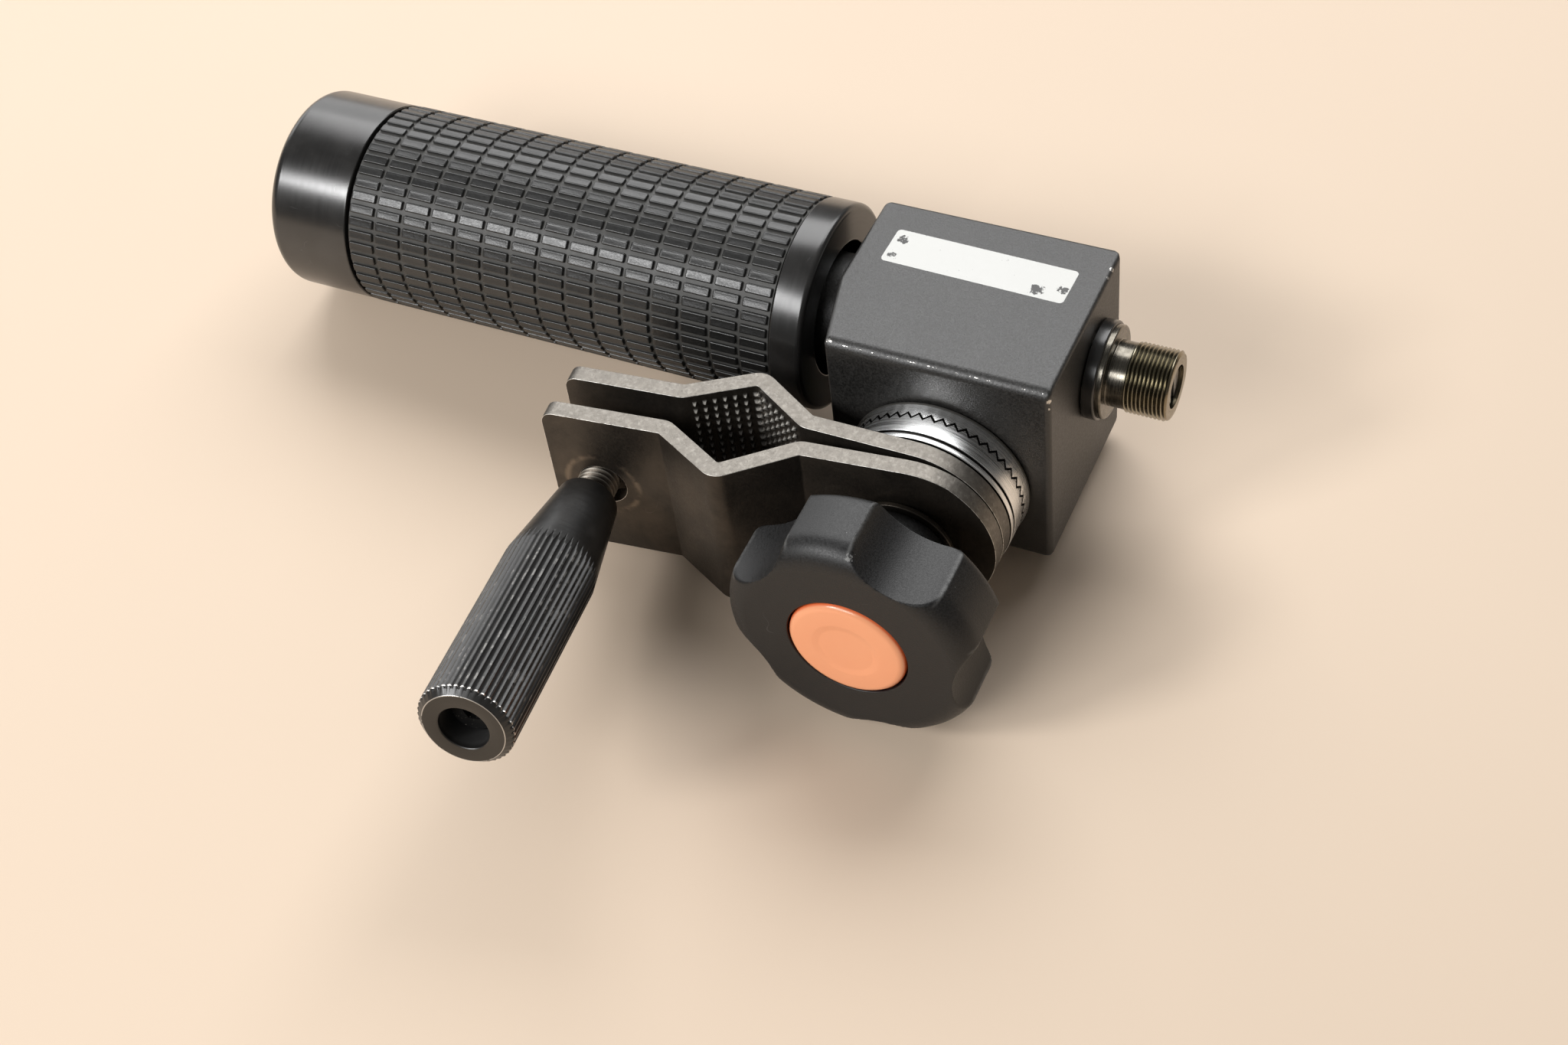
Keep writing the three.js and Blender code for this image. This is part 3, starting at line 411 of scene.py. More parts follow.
def housing_paint():
    paint = Finish("black_housing_paint", BLOCK, specular_ior_level=0.75)
    speckle, height = paint.group(fine_grain, size=0.38)
    cloud = paint.noise(9.0, 3.0, 0.6, seed=2.0)
    colour = mix(speckle, (0.005, 0.0047, 0.0044), (0.028, 0.0267, 0.025))
    colour = mix(ramp(cloud, 0.45, 0.75, 0.0, 0.35), colour, (0.03, 0.0285, 0.026))
    # A place on a rounded edge or corner faces between the flat sides.
    facing = split(paint.mapped("Normal"))
    edge = ramp(highest(*[abs(side) for side in facing]), 0.97, 0.74)
    _, y, z = split(paint.place)
    front = ramp(y, block.front + 4.0, block.front + 0.5)
    high = ramp(z, block.top - 6.0, block.top - 1.5, 0.86, 1.0)
    where = edge * high * blend(front, 0.86, 1.05)
    # Specks stand in a row along the crest of the front top edge.
    crest = ramp(abs(facing[1] + facing[2]), 0.25, 0.0) * where
    bare = highest(paint.worn(crest, 0.6, 0.6, 4.0),
                   *[paint.chips(centre, reach, 0.7, 6.0) for centre, reach in CORNER_CHIPS])
    local = node(paint.tree, "ShaderNodeVectorRotate", {
        "Vector": paint.place, "Center": (*label.centre, 0.0), "Angle": -radians(label.turn),
    }, rotation_type="Z_AXIS")[0]
    reach = [(abs(value - centre) - (half - label.corner)).most(0.0)
             for value, centre, half in zip(split(local), label.centre, label.half)]
    far = (reach[0] * reach[0] + reach[1] * reach[1]).root()
    ragged = paint.noise(0.5, 3.0, seed=3.0).times_plus(0.12, far)
    inside = ramp(ragged, label.corner, label.corner + 0.1, 1.0, 0.0)
    inside = inside * ramp(z, block.top - 0.3, block.top - 0.1)
    lost = highest(paint.worn(1.0, 1.1, 0.69, 21.0), *[paint.chips(*chip) for chip in label.chips])
    inside = inside * (1.0 - lost)
    colour = mix(bare, mix(inside, colour, (0.64, 0.64, 0.615)), BARE_METAL)
    return paint.set(base_color=colour, metallic=bare,
                     roughness=blend(bare, blend(speckle, 0.36, 0.52), 0.3),
                     normal=paint.bump(blend(inside, height, 0.5), 0.05))


def grip_anodising():
    """Black anodising over turned aluminium."""
    black = Finish("black_grip_anodising", AXLE, specular_ior_level=0.8)
    roughness, normal = black.turning(0.35, 0.23, 0.26, 0.0005)
    shade = mix(ramp(black.noise(7.0, 4.0, 0.6), 0.4, 0.7), ANODISED, (0.0216, 0.0207, 0.0198))
    marks = black.scratched(7.0, 0.004, 0.42)
    return black.set(base_color=mix(marks * 0.5, shade, WORN_GREY), roughness=roughness,
                     normal=normal)


def sleeve_rubber():
    rubber = Finish("pad_rubber", AXLE, specular_ior_level=0.7)
    speckle, height = rubber.group(fine_grain, size=0.35, seed=1.0)
    depth = ramp(rubber.round()[0], grip.radius - 0.62, grip.radius - 0.2, 1.0, 0.0)
    top = mix(rubber.attribute("pad_shade"), (0.007, 0.0072, 0.007), (0.014, 0.0142, 0.0137))
    dust = depth * ramp(rubber.noise(3.0, 4.0, 0.6), 0.25, 0.7, 0.6, 1.0)
    colour = mix(dust, top, (0.06, 0.0585, 0.054))
    colour = mix(rubber.worn(depth, 0.7, 0.72, 5.0), colour, (0.3, 0.29, 0.26))
    return rubber.set(base_color=colour, normal=rubber.bump(height, 0.03),
                      roughness=blend(dust, blend(speckle, 0.29, 0.41), 0.6))


def rosette_chrome(name, matt_from, matt_to, tooth_plane):
    """Turned chrome, matt at one rim, with painted shade along the seam of the teeth and on everything inside the
    rim.
    """
    chrome = Finish(name, SWIVEL)
    radius, station, angle = chrome.round()
    roughness, normal = chrome.turning(0.14, 0.2, 0.42, 0.006)
    cloud = chrome.noise(4.0, 4.0, 0.65)
    matt = ramp(station, matt_from, matt_to, 1.0, 0.0)
    matt = ramp(cloud.times_plus(0.5, matt), 0.45, 0.85)
    colour = mix(ramp(cloud, 0.3, 0.75), (0.95, 0.955, 0.96), (0.84, 0.84, 0.83))
    colour = mix(matt, colour, (0.3, 0.29, 0.27))
    # Painted shade: the seam where the teeth meet the rim, and everything inside the rim (the teeth's faces, the
    # groove and the faces hidden in the joint), is painted dark.
    edge = wave(angle * rosette.teeth) * rosette.height + (tooth_plane - rosette.height)
    dirt = ramp(cloud.times_plus(-0.3, abs(station - edge)), -0.02, 0.06, 1.0, 0.0)
    inner = ramp(radius, rosette.radius - 0.1, rosette.radius - 0.3)
    colour = mix(highest(dirt, inner), colour, (0.035, 0.032, 0.03))
    return chrome.set(base_color=colour, metallic=1.0, roughness=blend(matt, roughness, 0.5),
                      normal=normal)


def blackened_steel(name, place, ring_mark=None, crest=None):
    """Blackened steel with a brown sheen, cloudy and scratched, rubbed at a thread's crest."""
    steel = Finish(name, place)
    speckle, height = steel.group(fine_grain, size=0.5)
    cloud = steel.noise(11.0, 5.0, 0.6, 0.4)
    colour = mix(ramp(cloud, 0.35, 0.7), (0.048, 0.042, 0.036), (0.1, 0.084, 0.068))
    colour = mix(speckle * 0.3, colour, (0.11, 0.095, 0.078))
    colour = mix(steel.scratched(9.0, 0.003, 0.42) * 0.2, colour, (0.4, 0.37, 0.33))
    if ring_mark:
        centre, radius = ring_mark
        mark = band(steel.distance(centre), radius - 0.5, radius + 0.5, 0.5)
        mark = mark * ramp(steel.noise(3.0, 3.0, seed=12.0), 0.4, 0.6)
        colour = mix(mark * 0.5, colour, (0.3, 0.24, 0.18))
    if crest:
        rubbed = ramp(steel.round()[0], crest - 0.28, crest - 0.02)
        colour = mix(rubbed, colour, (0.24, 0.22, 0.19))
    return steel.set(base_color=colour, metallic=0.85, roughness=blend(speckle, 0.36, 0.5),
                     normal=steel.bump(height, 0.02))


def cut_steel(name, base, worn, share):
    """The bare cut edges of the plates, mottled, with dark pits and bright rubbed spots."""
    steel = Finish(name, ARM, metallic=0.9)
    mottle = steel.noise(1.6, 5.0, 0.7)
    fine = steel.noise(0.35, 3.0, 0.6, seed=3.0)
    colour = mix(ramp(mottle, 0.35, 0.65), tuple(0.8 * c for c in base), base)
    colour = mix(ramp(fine, 0.6, 0.75, 0.0, 0.5), colour, (0.05, 0.045, 0.04))
    rubbed = ramp(steel.noise(0.9, 5.0, 0.7, seed=8.0), share - 0.12, share + 0.12)
    return steel.set(base_color=mix(rubbed, colour, worn), roughness=blend(fine, 0.3, 0.55),
                     normal=steel.bump(mottle + fine, 0.04))


def tooth_steel():
    """Dark steel, bright at the tips of the vees' teeth, with painted light towards the plates' long edges and
    painted shade deeper between the plates.
    """
    steel = Finish("vee_tooth_steel", ARM, metallic=0.6)
    tip = steel.noise(1.5, 4.0, 0.6).times_plus(0.6, steel.attribute("tip"))
    # Painted light and shade: the teeth are painted bright near the plates' long edges and fade to dark deeper in
    # the vee, where the front plate shades them.
    edge = ramp(abs(split(steel.place)[2]), plate.half_height - 12.0, plate.half_height - 4.0,
                0.15, 1.0)
    bright = ramp(tip, 0.35, 1.0) * edge
    return steel.set(base_color=mix(bright, (0.04, 0.035, 0.03), (0.8, 0.77, 0.71)),
                     roughness=blend(bright, 0.45, 0.28),
                     normal=steel.bump(steel.noise(0.4, 3.0, 0.6), 0.02))


def nipple_steel():
    """Brown steel, lighter on the thread's crests, with a darker flange and neck."""
    steel = Finish("brown_nipple_steel", AXLE, metallic=1.0)
    radius, station, _ = steel.round()
    roughness, normal = steel.turning(0.2, 0.18, 0.3, 0.006)
    foot, end = block.right + nipple.neck_end, block.right + nipple.end
    crest = ramp(radius, nipple.root, nipple.crest - 0.12)
    brown = mix(crest, (0.115, 0.104, 0.08), (0.31, 0.283, 0.215))
    brown = mix(ramp(station, end - 0.7, end - 0.3), brown, (0.25, 0.21, 0.14))
    cloud = steel.noise(2.0, 4.0, 0.6)
    dark = mix(ramp(cloud, 0.35, 0.7), (0.12, 0.11, 0.092), (0.22, 0.203, 0.172))
    colour = mix(ramp(station, foot - 0.4, foot + 0.2), dark, brown)
    colour = mix(ramp(cloud, 0.55, 0.75, 0.0, 0.5), colour, (0.05, 0.04, 0.028))
    return steel.set(base_color=colour, roughness=roughness, normal=normal)


def knob_plastic():
    plastic = Finish("black_knob_plastic", SWIVEL, specular_ior_level=0.5)
    speckle, height = plastic.group(fine_grain, size=0.34, seed=2.0)
    colour = mix(speckle, (0.003, 0.003, 0.0031), (0.014, 0.014, 0.0144))
    radius, _, angle = plastic.round()
    # The ridges between the lobes' backs and the flutes are rubbed.
    half = pi / knob.flutes
    off = abs(angle.times_plus(tau, -radians(knob.first_flute)).wrap(half, -half))
    reach = knob.radius ** 2 + knob.flute_centre ** 2 - knob.flute_radius ** 2
    ridge = acos(reach / (2 * knob.radius * knob.flute_centre))
    rubbed = ramp(abs(off - ridge), 0.022, 0.0)
    rubbed = rubbed * ramp(radius, knob.radius - 1.6, knob.radius - 0.6)
    rubbed = rubbed * ramp(plastic.noise(1.6, 4.0, 0.7), 0.3, 0.6)
    colour = mix(rubbed * 0.7, colour, (0.11, 0.11, 0.108))
    rim = ramp(radius, knob.radius - 0.9, knob.radius - 0.1)
    nicks = highest(plastic.worn(rim, 0.7, 0.7, 14.0), plastic.chips(knob.nick, 2.6, 0.7, 3.0))
    colour = mix(nicks * 0.7, colour, (0.24, 0.24, 0.235))
    colour = mix(plastic.scratched(9.0, 0.003, 0.4) * 0.35, colour, WORN_GREY)
    return plastic.set(base_color=colour, roughness=blend(speckle, 0.38, 0.54),
                       normal=plastic.bump(height, 0.03))


def cap_plastic():
    plastic = Finish("orange_cap_plastic", SWIVEL, specular_ior_level=0.5)
    colour = mix(plastic.noise(9.0, 2.0), (1.0, 0.41, 0.21), (1.0, 0.44, 0.23))
    rim = ramp(plastic.round()[0], knob.cap - 0.5, knob.cap - 0.05)
    smear = plastic.noise(2.5, 4.0, 0.6, seed=9.0)
    return plastic.set(base_color=mix(rim, colour, (0.9, 0.15, 0.04)),
                       roughness=ramp(smear, 0.3, 0.7, 0.18, 0.27),
                       normal=plastic.bump(smear, 0.004))


def handle_black():
    """Black anodising, rubbed bright on the knurl's crests and at the end's edges."""
    black = Finish("black_handle", SCREW, specular_ior_level=0.6)
    radius, station, _ = black.round()
    roughness, normal = black.turning(0.3, 0.28, 0.38, 0.002)
    colour = mix(ramp(black.noise(6.0, 4.0, 0.6), 0.4, 0.7), ANODISED, (0.024, 0.023, 0.022))
    crest = ramp(radius, clamp.handle - 0.07, clamp.handle - 0.01)
    chamfer_start, face = clamp.end - clamp.end_chamfer, clamp.handle - clamp.end_chamfer
    end_edge = band(station, chamfer_start - 0.3, chamfer_start + 0.1, 0.12)
    end_edge = end_edge * ramp(radius, clamp.handle - 0.38, clamp.handle - 0.2)
    rim = ramp(station, clamp.end - 0.12, clamp.end - 0.04)
    rim = rim * ramp(radius, face - 0.18, face - 0.08)
    worn = highest(black.worn(crest, 2.4, 0.58, 3.0) * 0.25,
                   black.worn(crest, 0.5, 0.74, 17.0) * 0.35,
                   black.worn(end_edge, 1.6, 0.42, 5.0), black.worn(rim, 4.0, 0.42, 6.0) * 0.8)
    colour = mix(ramp(station, clamp.end - 0.2, clamp.end - 0.05), colour, (0.012, 0.009, 0.0055))
    # The recess is dull.
    deep = ramp(radius, clamp.recess + 0.15, clamp.recess + 0.05)
    deep = deep * ramp(station, clamp.end - 0.3, clamp.end - 1.5)
    return black.set(base_color=mix(worn, colour, BARE_METAL), metallic=worn, normal=normal,
                     roughness=blend(deep, roughness, 0.7))


def dusty_black():
    """The bolt deep in the handle: dull black, painted darker for the shade deep in the recess, with specks of
    pale dust.
    """
    dull = Finish("dusty_bolt_black", SCREW, specular_ior_level=0.25)
    # Painted shade: the near-black colour stands for the shade deep in the handle's recess; the pale specks are
    # dust.
    colour = mix(dull.noise(2.0, 3.0), (0.003, 0.003, 0.0028), (0.009, 0.0085, 0.008))
    return dull.set(base_color=mix(dull.worn(1.0, 0.5, 0.66, 2.0), colour, (0.2, 0.19, 0.17)),
                    roughness=ramp(dull.noise(0.8, 3.0), 0.3, 0.7, 0.6, 0.8))


def plain_metal(name, place, light, dark, smoothest):
    """A bare turned metal, cloudy with oil."""
    metal = Finish(name, place, metallic=1.0)
    roughness, normal = metal.turning(0.2, smoothest, smoothest + 0.15, 0.006)
    cloud = ramp(metal.noise(3.0, 4.0, 0.6), 0.3, 0.75)
    return metal.set(base_color=mix(cloud, light, dark), roughness=roughness, normal=normal)


def oiled_felt():
    felt = Finish("oiled_felt", AXLE, roughness=0.95)
    fibres = felt.noise(0.4, 6.0, 0.8, 1.0)
    return felt.set(base_color=mix(fibres, (0.14, 0.13, 0.11), (0.32, 0.3, 0.26)),
                    normal=felt.bump(fibres, 0.2))


STEEL = ((0.55, 0.55, 0.54), (0.34, 0.33, 0.32), 0.28)
BRONZE = ((0.58, 0.36, 0.16), (0.34, 0.2, 0.09), 0.34)
PAINT = housing_paint()
GRIP_BLACK = grip_anodising()
RUBBER = sleeve_rubber()
FIXED_CHROME = rosette_chrome("fixed_rosette_chrome", 0.5, 1.5, rosette.plane)
ARM_CHROME = rosette_chrome("arm_rosette_chrome", -3.0, -2.0, rosette.plane + rosette.gap)
PLATE_STEEL = blackened_steel("blackened_plate_steel", ARM, ring_mark=RING_MARK)
CUT_STEEL = cut_steel("bare_cut_steel", (0.185, 0.17, 0.15), (0.24, 0.224, 0.2), 0.58)
RUBBED_STEEL = cut_steel("rubbed_edge_steel", (0.24, 0.22, 0.19), (0.9, 0.87, 0.82), 0.44)
TOOTH_STEEL = tooth_steel()
WASHER_STEEL = blackened_steel("oiled_washer_steel", SWIVEL)
SCREW_STEEL = blackened_steel("blackened_screw_steel", SCREW, crest=clamp.radius)
NIPPLE_STEEL = nipple_steel()
KNOB_PLASTIC = knob_plastic()
CAP_PLASTIC = cap_plastic()
HANDLE_BLACK = handle_black()
BOLT_BLACK = dusty_black()
AXLE_STEEL = plain_metal("turned_axle_steel", AXLE, *STEEL)
SWIVEL_STEEL = plain_metal("turned_swivel_steel", SWIVEL, *STEEL)
SCREW_RING_STEEL = plain_metal("turned_ring_steel", SCREW, *STEEL)
AXLE_BRONZE = plain_metal("bush_bronze", AXLE, *BRONZE)
SWIVEL_BRONZE = plain_metal("insert_bronze", SWIVEL, *BRONZE)
FELT = oiled_felt()


# Meshes
def rounded(corners, softness, closed):
    """Rounds a profile's corners. A third number in a corner is its own radius."""
    straight, most_of_half = radians(8), 0.48
    profile = []
    last = len(corners) - 1
    for i, corner in enumerate(corners):
        here = Vector(corner[:2])
        before = Vector(corners[i - 1][:2]) - here
        after = Vector(corners[(i + 1) % len(corners)][:2]) - here
        radius = corner[2] if len(corner) > 2 else softness
        turn = pi - before.angle(after)
        if radius == 0 or (not closed and i in (0, last)) or turn < straight:
            profile.append(here)
            continue
        reach = min(radius * tan(turn / 2), most_of_half * before.length,
                    most_of_half * after.length)
        radius = reach / tan(turn / 2)
        middle = (before.normalized() + after.normalized()).normalized()
        centre = here + middle * (radius / cos(turn / 2))
        start = (here + before.normalized() * reach - centre).normalized()
        end = (here + after.normalized() * reach - centre).normalized()
        steps = max(2, ceil(degrees(turn) / (12 if radius > 2 else 30)))
        profile += [centre + start.slerp(end, k / steps) * radius for k in range(steps + 1)]
    return profile


def subdivided(profile, start, end, step):
    """Adds points to a profile's stretches between two stations, at most step apart."""
    result = [profile[0]]
    for low, high in zip(profile, profile[1:]):
        if start < (low.y + high.y) / 2 < end:
            count = ceil((high - low).length / step)
            result += [low.lerp(high, k / count) for k in range(1, count)]
        result.append(high)
    return result


def lathe(profile, columns, closed):
    """Turns a profile of [radius, station] about the local Z axis."""
    shape = bmesh.new()
    rings = []
    for radius, station in profile:
        count = 1 if radius < 1e-4 else columns
        rings.append([shape.verts.new((radius * cos(tau * i / columns),
                                       radius * sin(tau * i / columns), station))
                      for i in range(count)])
    following = rings[1:] + rings[:1] if closed else rings[1:]
    for low, high in zip(rings, following):
        for i in range(columns):
            j = (i + 1) % columns
            corners = dict.fromkeys([low[i % len(low)], low[j % len(low)],
                                     high[j % len(high)], high[i % len(high)]])
            if len(corners) > 2:
                shape.faces.new(corners)
    bmesh.ops.recalc_face_normals(shape, faces=shape.faces)
    return shape


def turned(corners, columns=MEDIUM, dense=None):
    """A turned shape. Its profile closes on itself unless it starts on the axis."""
    closed = corners[0][0] > 0
    profile = rounded(corners, SOFT, closed)
    if dense:
        profile = subdivided(profile, *dense)
    return lathe(profile, columns, closed)


def ring(inner, outer, low, high, edge=SOFT, columns=COARSE):
    """A plain turned ring with rounded outer edges, or a rod where its inner radius is 0."""
    return turned([(inner, low), (outer, low, edge), (outer, high, edge), (inner, high)], columns)


def as_mesh(shape, name="shape"):
    mesh = bpy.data.meshes.new(name)
    shape.to_mesh(mesh)
    shape.free()
    return mesh


def linked(name, data):
    made = bpy.data.objects.new(name, data)
    bpy.context.scene.collection.objects.link(made)
    return made


def modified(carrier, name, kind, **settings):
    modifier = carrier.modifiers.new(name, kind)
    for key, value in settings.items():
        setattr(modifier, key, value)
    return modifier


def baked(carrier):
    """The plain mesh that an object's modifiers make. The object goes."""
    depsgraph = bpy.context.evaluated_depsgraph_get()
    evaluated = carrier.evaluated_get(depsgraph)
    mesh = bpy.data.meshes.new_from_object(evaluated, preserve_all_data_layers=True,
                                           depsgraph=depsgraph)
    bpy.data.objects.remove(carrier)
    return mesh


def carved(mesh, *cutters, operation="DIFFERENCE"):
    """Cuts other shapes out of a mesh, or adds them to it."""
    carrier = linked("carrier", mesh)
    tools = [linked("carrier", as_mesh(cutter)) for cutter in cutters]
    for tool in tools:
        modified(carrier, "cut", "BOOLEAN", operation=operation, solver="EXACT", object=tool)
    result = baked(carrier)
    for tool in tools:
        bpy.data.objects.remove(tool)
    return result


def grown(tree, material, mesh=None, **values):
    """The plain mesh that a Geometry Nodes tree makes."""
    carrier = linked("carrier", mesh or bpy.data.meshes.new("start"))
    modifier = modified(carrier, "grow", "NODES", node_group=tree)
    values = {titled(key): value for key, value in values.items()} | {"Material": material}
    for item in tree.interface.items_tree:
        if item.in_out == "INPUT" and item.name in values:
            value = values[item.name]
            if item.socket_type == SOCKETS[float]:
                value = float(value)
            modifier[item.identifier] = value
    return baked(carrier)


def joined(*meshes):
    shape = bmesh.new()
    for mesh in meshes:
        shape.from_mesh(mesh)
    return shape


def moved(shape, matrix):
    bmesh.ops.transform(shape, matrix=matrix, verts=shape.verts)
    return shape


def piece(name, shape, replaced, place, *materials, sharp=32):
    """Finishes a local shape as one piece that stands for the named CAD node."""
    mesh = as_mesh(moved(shape, place), name)
    for material in materials:
        mesh.materials.append(material)
    mesh.shade_smooth()
    mesh.set_sharp_from_angle(angle=radians(sharp))
    carrier = linked("carrier", mesh)
    modified(carrier, "even_shading", "WEIGHTED_NORMAL", keep_sharp=True)
    made = linked(name, baked(carrier))
    made.data.name = name
    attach(made, BODY[replaced])
    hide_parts(replaced)


# Geometry Nodes. Each tree takes a geometry first and its material last.
def position(value):
    """The position of each point, in the tree that a value belongs to."""
    return node(value.tree, "GeometryNodeInputPosition")[0]


def at_round(radius, angle, station):
    return node(angle.tree, "ShaderNodeCombineXYZ", {
        0: radius * angle.cosine(), 1: radius * angle.sine(), 2: station})[0]


def placed(geometry, place):
    return node(geometry.tree, "GeometryNodeSetPosition", {
        "Geometry": geometry, "Position": place})[0]


def stored(geometry, name, value, domain):
    return node(geometry.tree, "GeometryNodeStoreNamedAttribute", {
        "Geometry": geometry, "Name": name, "Value": value}, data_type="FLOAT", domain=domain)[0]


def ended(geometry, material):
    """Ends a tree in plain geometry that carries its material."""
    real = node(geometry.tree, "GeometryNodeRealizeInstances", {"Geometry": geometry})[0]
    return [node(geometry.tree, "GeometryNodeSetMaterial", {
        "Geometry": real, "Material": material})[0]]


@geometry_group
def flutes(geometry=GEOMETRY, flutes=5.0, first_flute=0.0, flute_radius=1.0, flute_centre=1.0,
           softness=1.0, material=MATERIAL):
    """Cuts soft-edged round flutes into a turned shape."""
    radius, angle, station = polar(position(geometry))
    half = pi / flutes
    off = (angle - first_flute).wrap(half, half * -1.0)
    side = flute_centre * off.sine()
    reach = (flute_radius ** 2.0 - side * side).most(0.0).root()
    limit = flute_centre * off.cosine() - reach
    new_radius = radius.soft_least(limit, softness)
    return ended(placed(geometry, at_round(new_radius, angle, station)), material)


@geometry_group
def knurl(geometry=GEOMETRY, knurls=44.0, root=1.0, crest=1.0, material=MATERIAL):
    """Cuts straight vee grooves into a turned shape."""
    radius, angle, station = polar(position(geometry))
    limit = wave(angle / tau * knurls).times_plus(crest - root, root)
    return ended(placed(geometry, at_round(radius.least(limit), angle, station)), material)


@geometry_group
def radial_teeth(geometry=GEOMETRY, teeth=48.0, rim=1.0, inner=1.0, height=1.0, low=0.0,
                 high=0.0, material=MATERIAL):
    """Sinks radial teeth into the flat ring between two stations, deepest at the rim."""
    radius, angle, station = polar(position(geometry))
    sink = (1.0 - wave(angle / tau * teeth)) * (height * (radius / rim))
    inside = station.above(low) * station.below(high) * radius.above(inner)
    return ended(placed(geometry, at_round(radius, angle, station - sink * inside)), material)


@geometry_group
def thread(geometry=GEOMETRY, start=0.0, end=1.0, pitch=1.0, crest=1.0, root=1.0, chamfer=0.5,
           bore=0.0, turns=4, columns=48, material=MATERIAL):
    """A screw thread as one skin that winds round the axis and closes in at both ends."""
    rows_in_a_turn = 6.0
    grid = node(start.tree, "GeometryNodeMeshGrid", {
        "Size X": 1.0, "Size Y": 1.0, "Vertices X": turns.times_plus(rows_in_a_turn, 1.0),
        "Vertices Y": columns + 1.0})["Mesh"]
    x, y, _ = split(position(start))
    turn = y + 0.5
    base = (x + 0.5) * (turns * pitch)
    raw = (start - pitch * 2.0) + (base + pitch * turn)
    station = raw.most(start).least(end)
    saw = wave(base / pitch).times_plus(1.5, -0.25, clamp=True)
    radius = saw.times_plus(crest - root, root)
    edge = crest - chamfer
    for room in (end - station, station - start):
        radius = radius.least(edge + room)
    closing = (abs(raw - station) / (pitch * 0.9)).least(1.0)
    radius = radius - closing * (radius - bore)
    skin = placed(grid, at_round(radius, turn * tau, station))
    merged = node(start.tree, "GeometryNodeMergeByDistance", {
        "Geometry": skin, "Distance": 1e-4})[0]
    return ended(merged, material)


@geometry_group
def pads_on_drum(geometry=GEOMETRY, pattern=OBJECT, radius=1.0, around=48, along=15, start=0.0,
                 pitch=1.0, seed=1, material=MATERIAL):
    """Rows of pads that stand out from a drum about the local Z axis."""
    tree = radius.tree
    points = node(tree, "GeometryNodeMeshLine", {"Count": around * along}, mode="OFFSET")["Mesh"]
    index = node(tree, "GeometryNodeInputIndex")[0]
    row = ((index + 0.5) / around).floor()
    angle = index / around * tau
    spread = placed(points, at_round(radius, angle, row.times_plus(pitch, start)))
    facing = node(tree, "FunctionNodeAlignRotationToVector", {
        "Vector": at_round(1.0, angle, 0.0)}, axis="Z")[0]
    facing = node(tree, "FunctionNodeAlignRotationToVector", {
        "Rotation": facing, "Vector": (0.0, 0.0, 1.0)}, axis="Y", pivot_axis="Z")[0]
    source = node(tree, "GeometryNodeObjectInfo", {"Object": pattern})["Geometry"]
    instances = node(tree, "GeometryNodeInstanceOnPoints", {
        "Points": spread, "Instance": source, "Rotation": facing})[0]
    chance = node(tree, "FunctionNodeRandomValue", {"Seed": seed}, data_type="FLOAT")[1]
    return ended(stored(instances, "pad_shade", chance, "INSTANCE"), material)


@geometry_group
def field_of_points(geometry=GEOMETRY, columns=5, rows=5, pitch=1.0, base=1.0, height=1.0,
                    sunk=0.1, material=MATERIAL):
    """A field of four-sided points on the local XY plane."""
    tree = base.tree
    grid = node(tree, "GeometryNodeMeshGrid", {
        "Size X": (columns - 1.0) * pitch, "Size Y": (rows - 1.0) * pitch,
        "Vertices X": columns, "Vertices Y": rows})["Mesh"]
    cone = node(tree, "GeometryNodeMeshCone", {
        "Vertices": 4, "Radius Top": base * 0.04, "Radius Bottom": base * sqrt(0.5),
        "Depth": height + sunk})["Mesh"]
    drop = node(tree, "ShaderNodeCombineXYZ", {2: sunk * -1.0})[0]
    lowered = node(tree, "GeometryNodeTransform", {
        "Geometry": cone, "Rotation": (0.0, 0.0, pi / 4), "Translation": drop})[0]
    marked = stored(lowered, "tip", split(position(base))[2] / height, "POINT")
    instances = node(tree, "GeometryNodeInstanceOnPoints", {
        "Points": grid, "Instance": marked})[0]
    return ended(instances, material)


def threaded(material, start, end, pitch, bore=0.0, **sizes):
    """A thread closed at its ends, or open to a bore. Spare turns let it run out."""
    spare_turns = 4
    shape = joined(grown(thread, material, start=start, end=end, pitch=pitch, bore=bore,
                         turns=ceil((end - start) / pitch) + spare_turns, **sizes))
    bmesh.ops.dissolve_degenerate(shape, dist=1e-4, edges=shape.edges)
    if bore > 0:
        bmesh.ops.bridge_loops(shape, edges=[edge for edge in shape.edges if edge.is_boundary])
    bmesh.ops.recalc_face_normals(shape, faces=shape.faces)
    return shape


